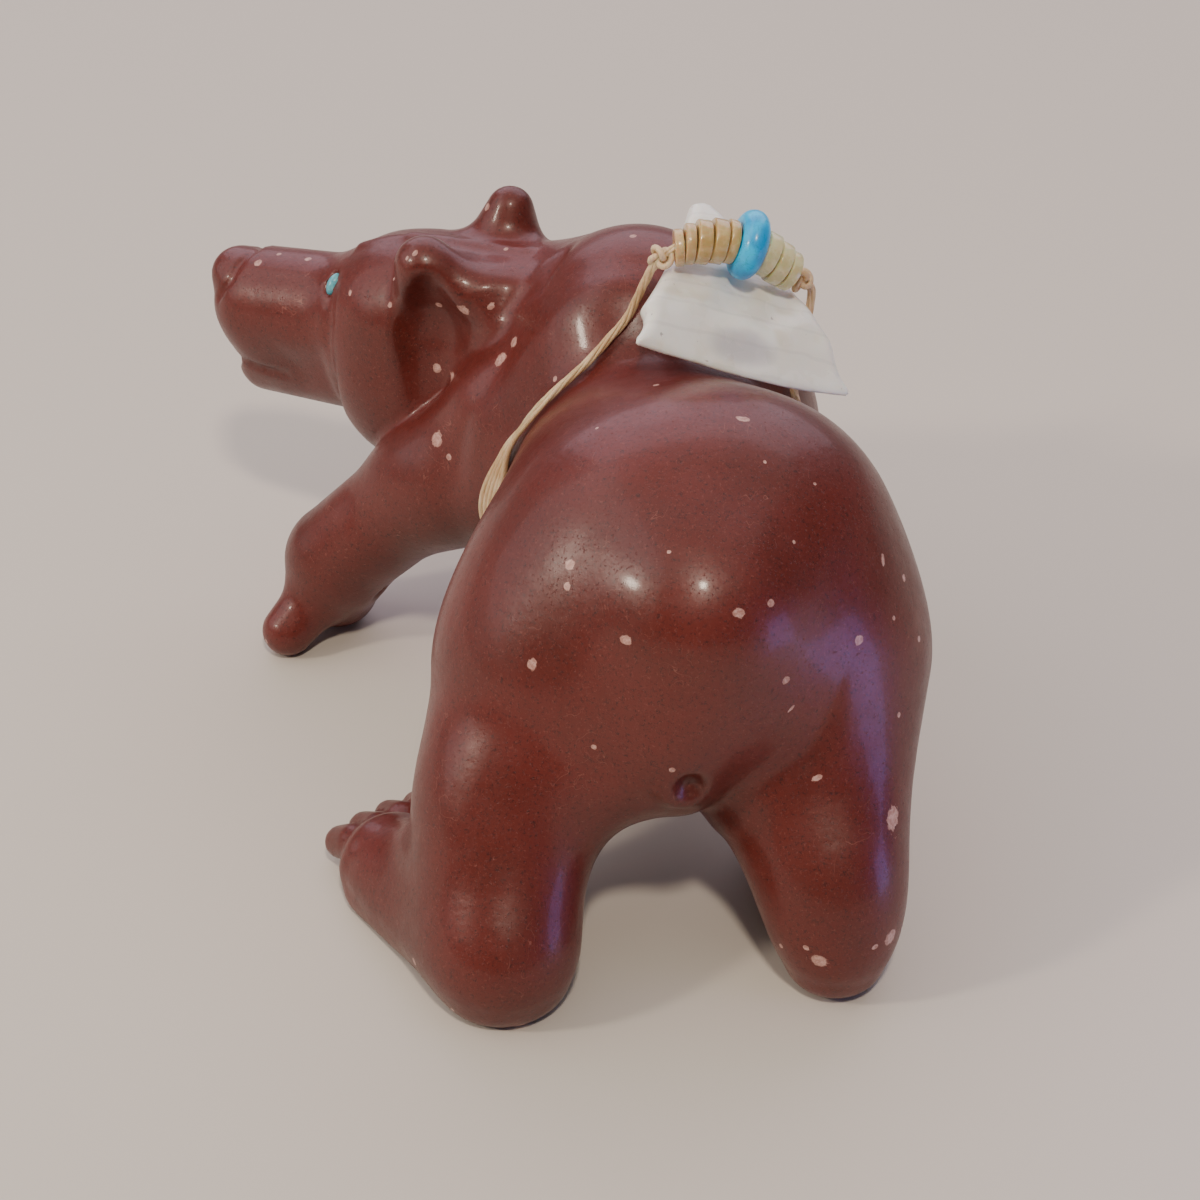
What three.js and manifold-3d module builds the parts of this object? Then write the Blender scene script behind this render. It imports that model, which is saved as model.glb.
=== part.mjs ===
// A small walking bear carved in one piece from dark red pipestone, with inlaid
// turquoise eyes and an offering bundle tied on its back: a white shell arrowhead
// under a short row of disc beads, held by one flat strand of sinew that goes once
// round the body. Millimetres, +Z up, standing on Z = 0. The bear walks towards +Y
// and looks to its left, and the origin is under the middle of its outer box.

import * as THREE from 'three';
import { mergeVertices } from 'three/addons/utils/BufferGeometryUtils.js';
import Module from 'manifold-3d';

// Size of the stone, from its hind heel to its forward paw. The masses further down
// are drawn for a bear of the drawn length, so they follow any other length chosen.
const bearLength = 83;
const drawnLength = 83;
const scale = bearLength / drawnLength;

// The stone's surface is worked out on an even grid and then thinned to fewer facets
const gridStep = 1.1;
const stoneTriangles = 5850;

// Turquoise eyes, let into sockets in the stone
const eyeLength = 2.4;
const eyeHeight = 1.3;
const eyeDepth = 1.5;
const inlayGap = 0.3;

// Shell arrowhead
const arrowheadLength = 18.8;
const arrowheadWidth = 21.8;
const arrowheadThickness = 2.7;
const arrowheadWear = 0.6;
const baseBevelLength = 4.4;
const notchDepth = 1.3;
const baseCurve = 1.9;

// Disc beads and the sinew that they are threaded on
const beadDiameter = 4.0;
const turquoiseDiameter = 6.4;
const turquoiseThickness = 2.2;
const strandDiameter = 0.8;
const boreClearance = 0.3;
const beadGap = 0.3;
const sinewWidth = 2.5;
const sinewThickness = 0.5;
const sinewClearance = 0.3;
const knotDiameter = 2.6;
const beadSides = 14;

// Colours
const pipestoneColour = 0x76403c;
const turquoiseColour = 0x18a8dc;
const shellColour = 0xdcdcd2;
const tanColour = 0xb79a63;
const amberColour = 0xb9974f;
const deepAmberColour = 0xb08a45;
const paleColour = 0xc0ae7c;
const sinewColour = 0xb9966a;

const wasm = await Module();
wasm.setup();

const point = (x, y, z) => new THREE.Vector3(x, y, z);

// Distance functions: each takes a place and returns how far it lies outside a form

// An ellipsoid with its own axes: ahead, right and up
function egg(center, radii, axes) {
  const [cx, cy, cz] = center;
  const [a, b, c] = radii;
  const [ahead, right, up] = axes;
  return (x, y, z) => {
    const dx = x - cx;
    const dy = y - cy;
    const dz = z - cz;
    const u = (dx * ahead[0] + dy * ahead[1] + dz * ahead[2]) / a;
    const v = (dx * right[0] + dy * right[1] + dz * right[2]) / b;
    const w = (dx * up[0] + dy * up[1] + dz * up[2]) / c;
    const near = Math.sqrt(u * u + v * v + w * w);
    const slope = Math.sqrt((u * u) / (a * a) + (v * v) / (b * b) + (w * w) / (c * c));
    return slope < 1e-9 ? -Math.min(a, b, c) : (near * (near - 1)) / slope;
  };
}

// A limb: a straight bone with a ball of its own radius at each end and a cone between
function limb(start, end, startRadius, endRadius) {
  const [sx, sy, sz] = start;
  const ax = end[0] - sx;
  const ay = end[1] - sy;
  const az = end[2] - sz;
  const long2 = ax * ax + ay * ay + az * az;
  const taper = startRadius - endRadius;
  const cone2 = long2 - taper * taper;
  return (x, y, z) => {
    const px = x - sx;
    const py = y - sy;
    const pz = z - sz;
    const along = px * ax + py * ay + pz * az;
    const past = along - long2;
    const off2 = Math.max(0, (px * px + py * py + pz * pz) * long2 - along * along) * long2;
    const edge = Math.sign(taper) * taper * taper * off2;
    if (Math.sign(past) * cone2 * past * past * long2 > edge) {
      return Math.sqrt(off2 + past * past * long2) / long2 - endRadius;
    }
    if (Math.sign(along) * cone2 * along * along * long2 < edge) {
      return Math.sqrt(off2 + along * along * long2) / long2 - startRadius;
    }
    return (Math.sqrt((off2 * cone2) / long2) + along * taper) / long2 - startRadius;
  };
}

// Two forms joined with a soft fillet, or one cut by another with a soft edge
const softJoin = (a, b, fillet) => {
  const h = Math.max(fillet - Math.abs(a - b), 0) / fillet;
  return Math.min(a, b) - (h * h * fillet) / 4;
};
const softCut = (a, b, fillet) => -softJoin(-a, b, fillet);

// Axes of a piece: ahead, right and up, from a heading left of +Y, a dip and a roll
function facing(headingLeft, dip, roll = 0) {
  const h = THREE.MathUtils.degToRad(headingLeft);
  const p = THREE.MathUtils.degToRad(dip);
  const r = THREE.MathUtils.degToRad(roll);
  const ahead = point(-Math.sin(h) * Math.cos(p), Math.cos(h) * Math.cos(p), -Math.sin(p));
  const side = point(Math.cos(h), Math.sin(h), 0);
  const up = side.clone().cross(ahead);
  const right = side.multiplyScalar(Math.cos(r)).addScaledVector(up, Math.sin(r));
  const top = right.clone().cross(ahead);
  return [ahead.toArray(), right.toArray(), top.toArray()];
}

// A place given ahead, right and up of an origin
function placeIn(origin, axes, [ahead, right, up]) {
  return [0, 1, 2].map((i) => (
    origin[i] + axes[0][i] * ahead + axes[1][i] * right + axes[2][i] * up
  ));
}

// Masses of the trunk, each with the fillet that joins it to those before it
const hipAxes = facing(2, 0);
const chestAxes = facing(40, 0);
const trunk = [
  [egg([7.3, -7.2, 27.6], [17.0, 18.7, 18], hipAxes), 0],
  [egg([11.6, -5, 30.2], [12.7, 13.8, 14.4], hipAxes), 4],
  [egg([7, -14, 24], [9, 10, 8.4], hipAxes), 4],
  [egg([5.0, 6, 28.3], [14, 12.9, 12.9], facing(15, 0)), 6],
  [egg([3.6, 21.5, 32.6], [12, 12, 15], chestAxes), 5],
  [egg([11, 19, 28], [10, 9, 12], chestAxes), 4],
  [egg([-1, 22, 24], [12, 12, 12], chestAxes), 5],
];

// Hind part: a tail pressed flat, the left leg, and both hind feet
const hindPart = [
  [limb([8.4, -17.5, 33], [5.6, -21.2, 20.6], 8.4, 4.9), 4],
  [limb([-3.6, -12, 22], [-8.2, -19.5, 14], 10.7, 7.1), 7],
  [limb([-8.2, -19.5, 14], [-8.0, -27.8, 5.6], 7.1, 5.8), 5],
  [limb([-8.8, -28.2, 4.8], [-18.2, -15.2, 2.8], 5.8, 5.2), 4],
];
const rightHindLeg = [
  [limb([18.4, -10, 22], [20.3, -24, 10], 10, 5.9), 0],
  [limb([12.2, -15, 20], [17.8, -21, 12], 7.8, 5.4), 4],
  [limb([19.9, -24, 10], [20.4, -26.9, 4.8], 5.7, 4.3), 3],
  [limb([20.5, -25, 4.6], [21.0, -10, 3.6], 4.4, 5.2), 4],
];

// Right foreleg, stepping forward, and the left one, reaching out to the side
const rightForeLeg = [
  [limb([10, 25, 27], [11, 31, 10], 9, 5.4), 6],
  [limb([11, 31, 7], [7, 38, 3.5], 5.4, 4.6), 4],
];
const leftForeLeg = [
  [limb([1.9, 20.0, 38.9], [-7.6, 21.2, 29.2], 7.3, 6.1), 0],
  [limb([-7.6, 21.2, 29.2], [-16.4, 24.3, 19.3], 6.1, 5.8), 3],
  [limb([-4, 20, 25], [-13, 21.5, 20.6], 7, 5.6), 4],
  [limb([-16.4, 24.3, 19.3], [-26.2, 26.2, 9.3], 5.6, 5.3), 3],
  [limb([-26.5, 26.8, 7.7], [-27, 28.4, 4.0], 4.9, 4.3), 2],
  [limb([-29.2, 24.6, 4.6], [-31.6, 22.7, 2.4], 2.9, 2.6), 1.4],
];

// Four toes in a row across the front of a foot
function toeRow(origin, axes, reach, spread, radius, drop) {
  return [-1.5, -0.5, 0.5, 1.5].map((n) => {
    const root = placeIn(origin, axes, [0, n * spread, drop]);
    const tip = placeIn(origin, axes, [reach - Math.abs(n) * 0.4, n * spread * 1.08, 0]);
    return limb(root, tip, radius, radius * 0.8);
  });
}
const toeFillet = 0.6;
const toes = [
  ...toeRow([-19.1, -9.7, 2.3], facing(37, 0), 2.7, 2.6, 1.7, 1.1),
  ...toeRow([21.2, -7.6, 1.8], facing(-4, 0), 3.0, 2.6, 1.75, 1.4),
  ...toeRow([5.6, 40.2, 1.8], facing(22, 0), 3.0, 2.4, 1.7, 1.2),
];

// Head, turned to the bear's left: neck, skull, muzzle, lips, jaw, nose, cheeks, then ears
const skull = [-16.8, 33.4, 33.5];
const headAxes = facing(62, 7);
const inHead = (place) => placeIn(skull, headAxes, place);
const head = [
  [limb([1, 28, 34.3], inHead([-4, 0, 0.4]), 8.2, 7.0), 0],
  [egg(inHead([1.2, 0, -0.2]), [8.9, 8.2, 7.8], headAxes), 3],
  [limb(inHead([8, 0, -1.8]), inHead([19.3, 0, -1.7]), 6.0, 5.6), 3],
  [egg(inHead([18.2, 0, -4.4]), [5.4, 4.8, 4.8], headAxes), 1.5],
  [limb(inHead([6, 0, -6.9]), inHead([20.6, 0, -8.6]), 5.2, 3.1), 2.4],
  [egg(inHead([22.7, 0, 1.4]), [2.3, 3.0, 2.3], headAxes), 1.0],
  [egg(inHead([2.1, -4.0, -5.5]), [7.2, 4.7, 9.2], headAxes), 1.0],
  [egg(inHead([2.1, 4.0, -5.5]), [7.2, 4.7, 9.2], headAxes), 1.0],
];
const ears = [
  [limb(inHead([-4.0, -5.7, 8.0]), inHead([-3.6, -5.9, 3.6]), 2.1, 2.0), 2],
  [limb(inHead([-4.6, -5.7, 7.6]), inHead([-9.2, -4.4, 4.6]), 1.7, 2.4), 4],
  [limb(inHead([-7.1, 6.0, 8.8]), inHead([-6.2, 5.2, 4.3]), 2.3, 4.1), 2],
];

// Places cut back, each with its soft edge: behind the near cheek, the neck along the
// straight front edge of the shoulder, the line of the mouth, on both sides of the face
// under the ear and at the root of the muzzle, and the pit under the tail
const neckCut = [limb([-16.2, 18.3, 38.1], [-16.3, 17.8, 26.4], 5.6, 6.4), 1.5];
const shoulderCuts = [
  [limb([-2.8, 27.5, 48.3], [-7.8, 21.5, 44.3], 2.8, 3.0), 0.6],
  [limb([-7.8, 21.5, 44.3], [-12.9, 23.2, 38.6], 3.0, 3.2), 0.6],
];
const mouthCut = [limb(inHead([23.6, -4, -6.9]), inHead([23.6, 4, -6.9]), 1.5, 1.5), 0.8];
const faceCuts = [-1, 1].flatMap((side) => [
  [limb(inHead([-5.3, side * 9.6, 3.0]), inHead([-4.6, side * 10.8, -5.5]), 4.6, 4.1), 0.5],
  [limb(inHead([8.0, side * 4.8, 5.2]), inHead([7.9, side * 7.3, 1.0]), 1.0, 0.95), 0.9],
  [limb(inHead([7.9, side * 7.3, 1.0]), inHead([8.4, side * 7.6, -3.5]), 0.95, 0.9), 0.9],
  [limb(inHead([8.4, side * 7.6, -3.5]), inHead([8.2, side * 5.9, -8.5]), 0.9, 0.8), 0.9],
]);
const tailPit = [egg([7.7, -26.3, 20.8], [1.2, 1.6, 1.7], hipAxes), 0.6];

function joined(masses, x, y, z, start = Infinity) {
  return masses.reduce((sum, [form, fillet]) => (
    sum === Infinity ? form(x, y, z) : softJoin(sum, form(x, y, z), fillet)
  ), start);
}
const cutBack = (cuts, x, y, z, start) => (
  cuts.reduce((sum, [form, edge]) => softCut(sum, form(x, y, z), edge), start)
);

// The whole stone, flat where the feet stand. The right hind leg meets the tail in a
// crease and rounds softly into the flank; the left foreleg stands out over the neck.
const { lerp, smoothstep } = THREE.MathUtils;
const softFillet = 5;
const creaseFillet = 1.1;
function stoneDistance(x, y, z) {
  const place = [x / scale, y / scale, z / scale];
  const [px, py, pz] = place;
  let body = joined(trunk, ...place);
  body = cutBack([neckCut], ...place, joined(rightForeLeg, ...place, body));
  body = joined(hindPart, ...place, body);
  const flank = Math.max(smoothstep(pz, 17, 30), smoothstep(px, 15, 21));
  const legFillet = lerp(creaseFillet, 7, flank);
  body = softJoin(body, joined(rightHindLeg, ...place), legFillet);
  for (const toe of toes) body = softJoin(body, toe(...place), toeFillet);
  const armFillet = lerp(softFillet, creaseFillet, smoothstep(py, 14, 19.5));
  const withArm = softJoin(body, joined(leftForeLeg, ...place), armFillet);
  const face = cutBack([neckCut, mouthCut, ...faceCuts], ...place, joined(head, ...place));
  const withHead = softJoin(body, face, softFillet);
  const whole = softJoin(withArm, withHead, creaseFillet);
  const carved = cutBack([...shoulderCuts, tailPit], ...place, whole);
  const distance = joined(ears, ...place, carved);
  return Math.max(distance, -pz) * scale;
}

// The slope of a distance at a place: it points straight out of the form
function slopeAt(distance, [x, y, z]) {
  const e = 0.05;
  const slope = point(
    distance(x + e, y, z) - distance(x - e, y, z),
    distance(x, y + e, z) - distance(x, y - e, z),
    distance(x, y, z + e) - distance(x, y, z - e),
  );
  return slope.divideScalar(2 * e);
}

// A place moved along the slope until a form is a given distance away
function drawnTo(distance, place, wanted) {
  let moved = place;
  for (let turn = 0; turn < 5; turn += 1) {
    const slope = slopeAt(distance, moved);
    const share = (distance(...moved) - wanted) / Math.max(slope.lengthSq(), 0.2);
    moved = [moved[0] - slope.x * share, moved[1] - slope.y * share, moved[2] - slope.z * share];
  }
  return moved;
}
const settle = (place, wanted) => drawnTo(stoneDistance, place, wanted);

// Corners and edges of a grid cell, and the edges round each of its faces
const cellCorners = [
  [0, 0, 0], [1, 0, 0], [1, 1, 0], [0, 1, 0], [0, 0, 1], [1, 0, 1], [1, 1, 1], [0, 1, 1],
];
const cellEdges = [
  [0, 1], [1, 2], [2, 3], [3, 0], [4, 5], [5, 6], [6, 7], [7, 4], [0, 4], [1, 5], [2, 6], [3, 7],
];
const cellFaces = [
  [0, 1, 2, 3], [4, 5, 6, 7], [0, 1, 5, 4], [1, 2, 6, 5], [2, 3, 7, 6], [3, 0, 4, 7],
];
const edgeBetween = (a, b) => cellEdges.findIndex((e) => e.includes(a) && e.includes(b));
const faceEdges = cellFaces.map((face) => (
  face.map((corner, i) => edgeBetween(corner, face[(i + 1) % 4]))
));

// A closed mesh of the surface where a distance function is zero. Each grid cell that
// the surface crosses gets one vertex for each separate sheet of surface inside it.
function surfaceOf(distance, xs, ys, zs) {
  const [nx, ny, nz] = [xs.length, ys.length, zs.length];
  const at = (i, j, k) => (k * ny + j) * nx + i;
  const values = new Float64Array(nx * ny * nz);
  for (let k = 0; k < nz; k += 1) {
    for (let j = 0; j < ny; j += 1) {
      for (let i = 0; i < nx; i += 1) values[at(i, j, k)] = distance(xs[i], ys[j], zs[k]);
    }
  }
  const vertices = [];
  const cellVertices = new Map();
  for (let k = 0; k < nz - 1; k += 1) {
    for (let j = 0; j < ny - 1; j += 1) {
      for (let i = 0; i < nx - 1; i += 1) {
        const corner = cellCorners.map(([a, b, c]) => values[at(i + a, j + b, k + c)]);
        const crossed = cellEdges.map(([a, b]) => (corner[a] < 0) !== (corner[b] < 0));
        if (!crossed.includes(true)) continue;
        const sheet = cellEdges.map((_, n) => n);
        const root = (n) => (sheet[n] === n ? n : root(sheet[n]));
        const link = (a, b) => { sheet[root(a)] = root(b); };
        cellFaces.forEach((face, f) => {
          const open = faceEdges[f].filter((e) => crossed[e]);
          if (open.length === 2) link(open[0], open[1]);
          if (open.length === 4) {
            face.forEach((c, n) => {
              if (corner[c] < 0) link(faceEdges[f][n], faceEdges[f][(n + 3) % 4]);
            });
          }
        });
        const sums = new Map();
        cellEdges.forEach(([a, b], n) => {
          if (!crossed[n]) return;
          const share = corner[a] / (corner[a] - corner[b]);
          const place = [0, 1, 2].map((m) => (
            cellCorners[a][m] + (cellCorners[b][m] - cellCorners[a][m]) * share
          ));
          const sum = sums.get(root(n)) ?? { count: 0, total: [0, 0, 0] };
          sum.count += 1;
          sum.total = sum.total.map((value, m) => value + place[m]);
          sums.set(root(n), sum);
        });
        const names = new Map();
        sums.forEach((sum, name) => {
          const [u, v, w] = sum.total.map((value) => value / sum.count);
          names.set(name, vertices.length);
          vertices.push([
            xs[i] + (xs[i + 1] - xs[i]) * u,
            ys[j] + (ys[j + 1] - ys[j]) * v,
            zs[k] + (zs[k + 1] - zs[k]) * w,
          ]);
        });
        const numbers = cellEdges.map((_, n) => (crossed[n] ? names.get(root(n)) : -1));
        cellVertices.set(at(i, j, k), numbers);
      }
    }
  }
  // The four cells round each crossed grid line, with that line's edge number in each
  const rounds = [
    [[1, 0, 0], [[0, 0, 0, 0], [0, -1, 0, 2], [0, -1, -1, 6], [0, 0, -1, 4]]],
    [[0, 1, 0], [[0, 0, 0, 3], [0, 0, -1, 7], [-1, 0, -1, 5], [-1, 0, 0, 1]]],
    [[0, 0, 1], [[0, 0, 0, 8], [-1, 0, 0, 9], [-1, -1, 0, 10], [0, -1, 0, 11]]],
  ];
  const triangles = [];
  for (let k = 1; k < nz - 1; k += 1) {
    for (let j = 1; j < ny - 1; j += 1) {
      for (let i = 1; i < nx - 1; i += 1) {
        rounds.forEach(([[a, b, c], cells]) => {
          const here = values[at(i, j, k)] < 0;
          if (here === (values[at(i + a, j + b, k + c)] < 0)) return;
          const quad = cells.map(([di, dj, dk, edge]) => (
            cellVertices.get(at(i + di, j + dj, k + dk))[edge]
          ));
          if (!here) quad.reverse();
          triangles.push([quad[0], quad[1], quad[2]], [quad[0], quad[2], quad[3]]);
        });
      }
    }
  }
  return { vertices, triangles };
}

// Vertices spread evenly over the surface and drawn onto it
const relaxRounds = 3;
function relaxed({ vertices, triangles }, distance) {
  const neighbours = vertices.map(() => new Set());
  triangles.forEach((corners) => corners.forEach((v, n) => {
    neighbours[v].add(corners[(n + 1) % 3]);
    neighbours[v].add(corners[(n + 2) % 3]);
  }));
  let places = vertices;
  for (let turn = 0; turn < relaxRounds; turn += 1) {
    const before = places;
    places = before.map((place, v) => {
      const middle = [0, 0, 0];
      neighbours[v].forEach((n) => before[n].forEach((value, m) => { middle[m] += value; }));
      const mixed = place.map((value, m) => (value + middle[m] / neighbours[v].size) / 2);
      const level = place[2] < 0.01 ? [mixed[0], mixed[1], 0] : mixed;
      return drawnTo(distance, level, 0);
    });
  }
  return { vertices: places, triangles };
}

// Between a mesh of vertices and triangles, a three.js geometry and a solid to cut
function geometryFrom({ vertices, triangles }) {
  const geometry = new THREE.BufferGeometry();
  geometry.setAttribute('position', new THREE.Float32BufferAttribute(vertices.flat(), 3));
  geometry.setIndex(triangles.flat());
  return geometry;
}

function solidFrom(geometry) {
  const bare = geometry.clone();
  bare.deleteAttribute('normal');
  bare.deleteAttribute('uv');
  const merged = mergeVertices(bare, 1e-5);
  const vertProperties = new Float32Array(merged.attributes.position.array);
  const triVerts = new Uint32Array(merged.index.array);
  return new wasm.Manifold(new wasm.Mesh({ numProp: 3, vertProperties, triVerts }));
}

function geometryOf(solid) {
  const mesh = solid.getMesh();
  const geometry = new THREE.BufferGeometry();
  const places = new Float32Array((mesh.vertProperties.length / mesh.numProp) * 3);
  for (let v = 0; v < places.length / 3; v += 1) {
    for (let m = 0; m < 3; m += 1) places[v * 3 + m] = mesh.vertProperties[v * mesh.numProp + m];
  }
  geometry.setAttribute('position', new THREE.BufferAttribute(places, 3));
  geometry.setIndex(new THREE.BufferAttribute(new Uint32Array(mesh.triVerts), 1));
  return geometry;
}

// A frame that puts a form's own X, Y and Z along right, ahead and up at a place
function frameAt(place, [ahead, right, up]) {
  const frame = new THREE.Matrix4().makeBasis(point(...right), point(...ahead), point(...up));
  return frame.setPosition(...place);
}

// A mesh thinned where it is flat. Each round closes up the edges that bend the
// surface least, no two of them side by side, until only the wanted number is left.
function thinned({ vertices, triangles }, distance, wanted) {
  let faces = triangles;
  const places = vertices.map((place) => point(...place));
  const normalOf = ([a, b, c], moved, to) => {
    const [p, q, r] = [a, b, c].map((v) => (moved.includes(v) ? to : places[v]));
    return q.clone().sub(p).cross(r.clone().sub(p));
  };
  while (faces.length > wanted) {
    const around = new Map();
    faces.forEach((face) => face.forEach((v) => {
      if (!around.has(v)) around.set(v, []);
      around.get(v).push(face);
    }));
    const normals = new Map(faces.map((face) => [face, normalOf(face, [], null).normalize()]));
    const rim = (v) => new Set(around.get(v).flat().filter((n) => n !== v));
    const bend = (a, b, to) => {
      const touched = new Set([...around.get(a), ...around.get(b)]);
      let sum = 0.004 * places[a].distanceToSquared(places[b]);
      touched.forEach((face) => {
        sum += normals.get(face).dot(to.clone().sub(places[face[0]])) ** 2;
      });
      return sum;
    };
    const edges = [];
    faces.forEach((face) => face.forEach((a, n) => {
      const b = face[(n + 1) % 3];
      if (a > b) return;
      const to = places[a].clone().lerp(places[b], 0.5);
      edges.push({ a, b, to, cost: bend(a, b, to) });
    }));
    edges.sort((one, two) => one.cost - two.cost);
    const busy = new Set();
    const closed = new Map();
    const most = Math.min((faces.length - wanted) / 2, edges.length * 0.12);
    for (const { a, b, to } of edges) {
      if (closed.size >= most) break;
      if (busy.has(a) || busy.has(b)) continue;
      const [rimA, rimB] = [rim(a), rim(b)];
      const shared = [...rimA].filter((n) => rimB.has(n));
      if (shared.length !== 2) continue;
      const landed = point(...drawnTo(distance, to.toArray(), 0));
      const kept = [...around.get(a), ...around.get(b)]
        .filter((face) => !(face.includes(a) && face.includes(b)));
      const turned = kept.some((face) => {
        const normal = normalOf(face, [a, b], landed);
        return normal.length() < 0.05 || normal.normalize().dot(normals.get(face)) < 0.5;
      });
      if (turned) continue;
      [a, b, ...rimA, ...rimB].forEach((v) => busy.add(v));
      places[a] = landed;
      closed.set(b, a);
    }
    if (closed.size === 0) break;
    faces = faces
      .map((face) => face.map((v) => closed.get(v) ?? v))
      .filter(([a, b, c]) => a !== b && b !== c && c !== a);
  }
  const used = [...new Set(faces.flat())];
  const numbers = new Map(used.map((v, n) => [v, n]));
  return {
    vertices: used.map((v) => places[v].toArray()),
    triangles: faces.map((face) => face.map((v) => numbers.get(v))),
  };
}

// The stone
const inStone = (place) => place.map((value) => value * scale);
const gridLines = (from, to) => (
  Array.from({ length: Math.ceil((to - from) / gridStep) + 1 }, (_, n) => from + n * gridStep)
);
const drawnStone = surfaceOf(
  stoneDistance,
  gridLines(-46 * scale, 33 * scale),
  gridLines(-38 * scale, 50 * scale),
  gridLines(-1.5 * gridStep, 54 * scale),
);
const stone = thinned(relaxed(drawnStone, stoneDistance), stoneDistance, stoneTriangles);

// Eyes: lens-shaped inlays, sunk into sockets a little larger than they are
const eyeSink = 0.45;
const eyePlaces = [['eye_left', [8.3, -4.6, 4.2]], ['eye_right', [8.3, 4.6, 4.2]]];
const eyes = eyePlaces.map(([name, place]) => {
  const seat = settle(inStone(inHead(place)), -eyeSink);
  const out = slopeAt(stoneDistance, seat).normalize();
  const headUp = point(...headAxes[2]);
  const along = headUp.clone().addScaledVector(out, -out.dot(headUp)).normalize();
  const across = along.clone().cross(out);
  const frame = new THREE.Matrix4().makeBasis(across, along, out).setPosition(...seat);
  const lens = (gap) => new THREE.SphereGeometry(1, 12, 8)
    .scale(eyeHeight / 2 + gap, eyeLength / 2 + gap, eyeDepth / 2 + gap)
    .applyMatrix4(frame);
  return { name, inlay: lens(0), socket: lens(inlayGap) };
});
let bearSolid = solidFrom(geometryFrom(stone));
eyes.forEach(({ socket }) => { bearSolid = bearSolid.subtract(solidFrom(socket)); });

// Arrowhead: a side-notched outline with rounded edges and a long bevel at its base.
// Its own frame has X to the right, Y towards the tip and Z up from its underside.
const arrowheadAxes = facing(4, -17.5, -22);
const arrowheadSeat = [12.4, 5.9, 41.6];
const half = arrowheadWidth / 2;
const tipShift = -0.17 * arrowheadLength;
const outline = new THREE.Shape();
outline.moveTo(-half, 0.2);
outline.quadraticCurveTo(0.15 * arrowheadWidth, -baseCurve, half, 0.2);
outline.lineTo(half - 0.3, 1.1);
outline.quadraticCurveTo(half - notchDepth - 1.6, 2.2, half - notchDepth - 1.1, 4.0);
outline.quadraticCurveTo(
  0.36 * arrowheadWidth, 0.42 * arrowheadLength,
  tipShift + 1.0, arrowheadLength,
);
outline.lineTo(tipShift - 0.8, arrowheadLength - 0.3);
outline.quadraticCurveTo(-0.3 * arrowheadWidth, 0.55 * arrowheadLength, 0.9 - half, 4.1);
outline.quadraticCurveTo(notchDepth + 0.3 - half, 2.6, 0.3 - half, 1.1);
outline.closePath();

// A plate with the given outline, its edge worn back above and below
function wornPlate(points, thickness, wear) {
  const count = points.length;
  const inset = points.map((here, n) => {
    const ahead = points[(n + 1) % count].clone().sub(here).normalize();
    const behind = here.clone().sub(points[(n + count - 1) % count]).normalize();
    const along = ahead.add(behind).normalize();
    return new THREE.Vector2(here.x - along.y * wear, here.y + along.x * wear);
  });
  const level = (ring, height) => ring.map(({ x, y }) => [x, y, height]);
  const rings = [
    level(inset, 0),
    level(points, 0.4 * thickness),
    level(points, thickness - wear),
    level(inset, thickness),
  ];
  const triangles = [];
  for (let ring = 0; ring < rings.length - 1; ring += 1) {
    for (let n = 0; n < count; n += 1) {
      const m = (n + 1) % count;
      const [a, b] = [ring * count + n, ring * count + m];
      triangles.push([a, b, b + count], [a, b + count, a + count]);
    }
  }
  const top = (rings.length - 1) * count;
  THREE.ShapeUtils.triangulateShape(inset, []).forEach(([a, b, c]) => {
    triangles.push([a, c, b], [top + a, top + b, top + c]);
  });
  return geometryFrom({ vertices: rings.flat(), triangles });
}
const outlinePoints = outline.getPoints(6).slice(0, -1);
const slab = wornPlate(outlinePoints, arrowheadThickness, arrowheadWear);
const bevelAngle = Math.atan2(arrowheadThickness - 0.6, baseBevelLength);
const bevelDepth = 4 * arrowheadThickness;
const bevelCutter = new THREE.BoxGeometry(2 * arrowheadWidth, 4 * baseBevelLength, bevelDepth)
  .translate(0, 0, bevelDepth / 2)
  .rotateX(bevelAngle)
  .translate(0, 0, 0.6);
const arrowheadShape = geometryOf(solidFrom(slab).subtract(solidFrom(bevelCutter)));

// The arrowhead rests on the back: it is raised until its underside clears the stone
function undersideClearance(lift) {
  let least = Infinity;
  for (let x = -half; x <= half; x += 1) {
    for (let y = 0; y <= arrowheadLength; y += 1) {
      const margin = half * (1 - (0.75 * y) / arrowheadLength);
      if (Math.abs(x - (tipShift * y) / arrowheadLength) > margin) continue;
      const place = placeIn(inStone(arrowheadSeat), arrowheadAxes, [y, x, lift]);
      least = Math.min(least, stoneDistance(...place));
    }
  }
  return least;
}
let arrowheadLift = 0;
for (let turn = 0; turn < 12; turn += 1) {
  arrowheadLift += sinewClearance - undersideClearance(arrowheadLift);
}
const arrowheadOrigin = placeIn(inStone(arrowheadSeat), arrowheadAxes, [0, 0, arrowheadLift]);
const onArrowhead = (right, ahead, up) => (
  placeIn(arrowheadOrigin, arrowheadAxes, [ahead, right, up])
);
const arrowheadGeometry = arrowheadShape.applyMatrix4(frameAt(arrowheadOrigin, arrowheadAxes));

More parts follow.
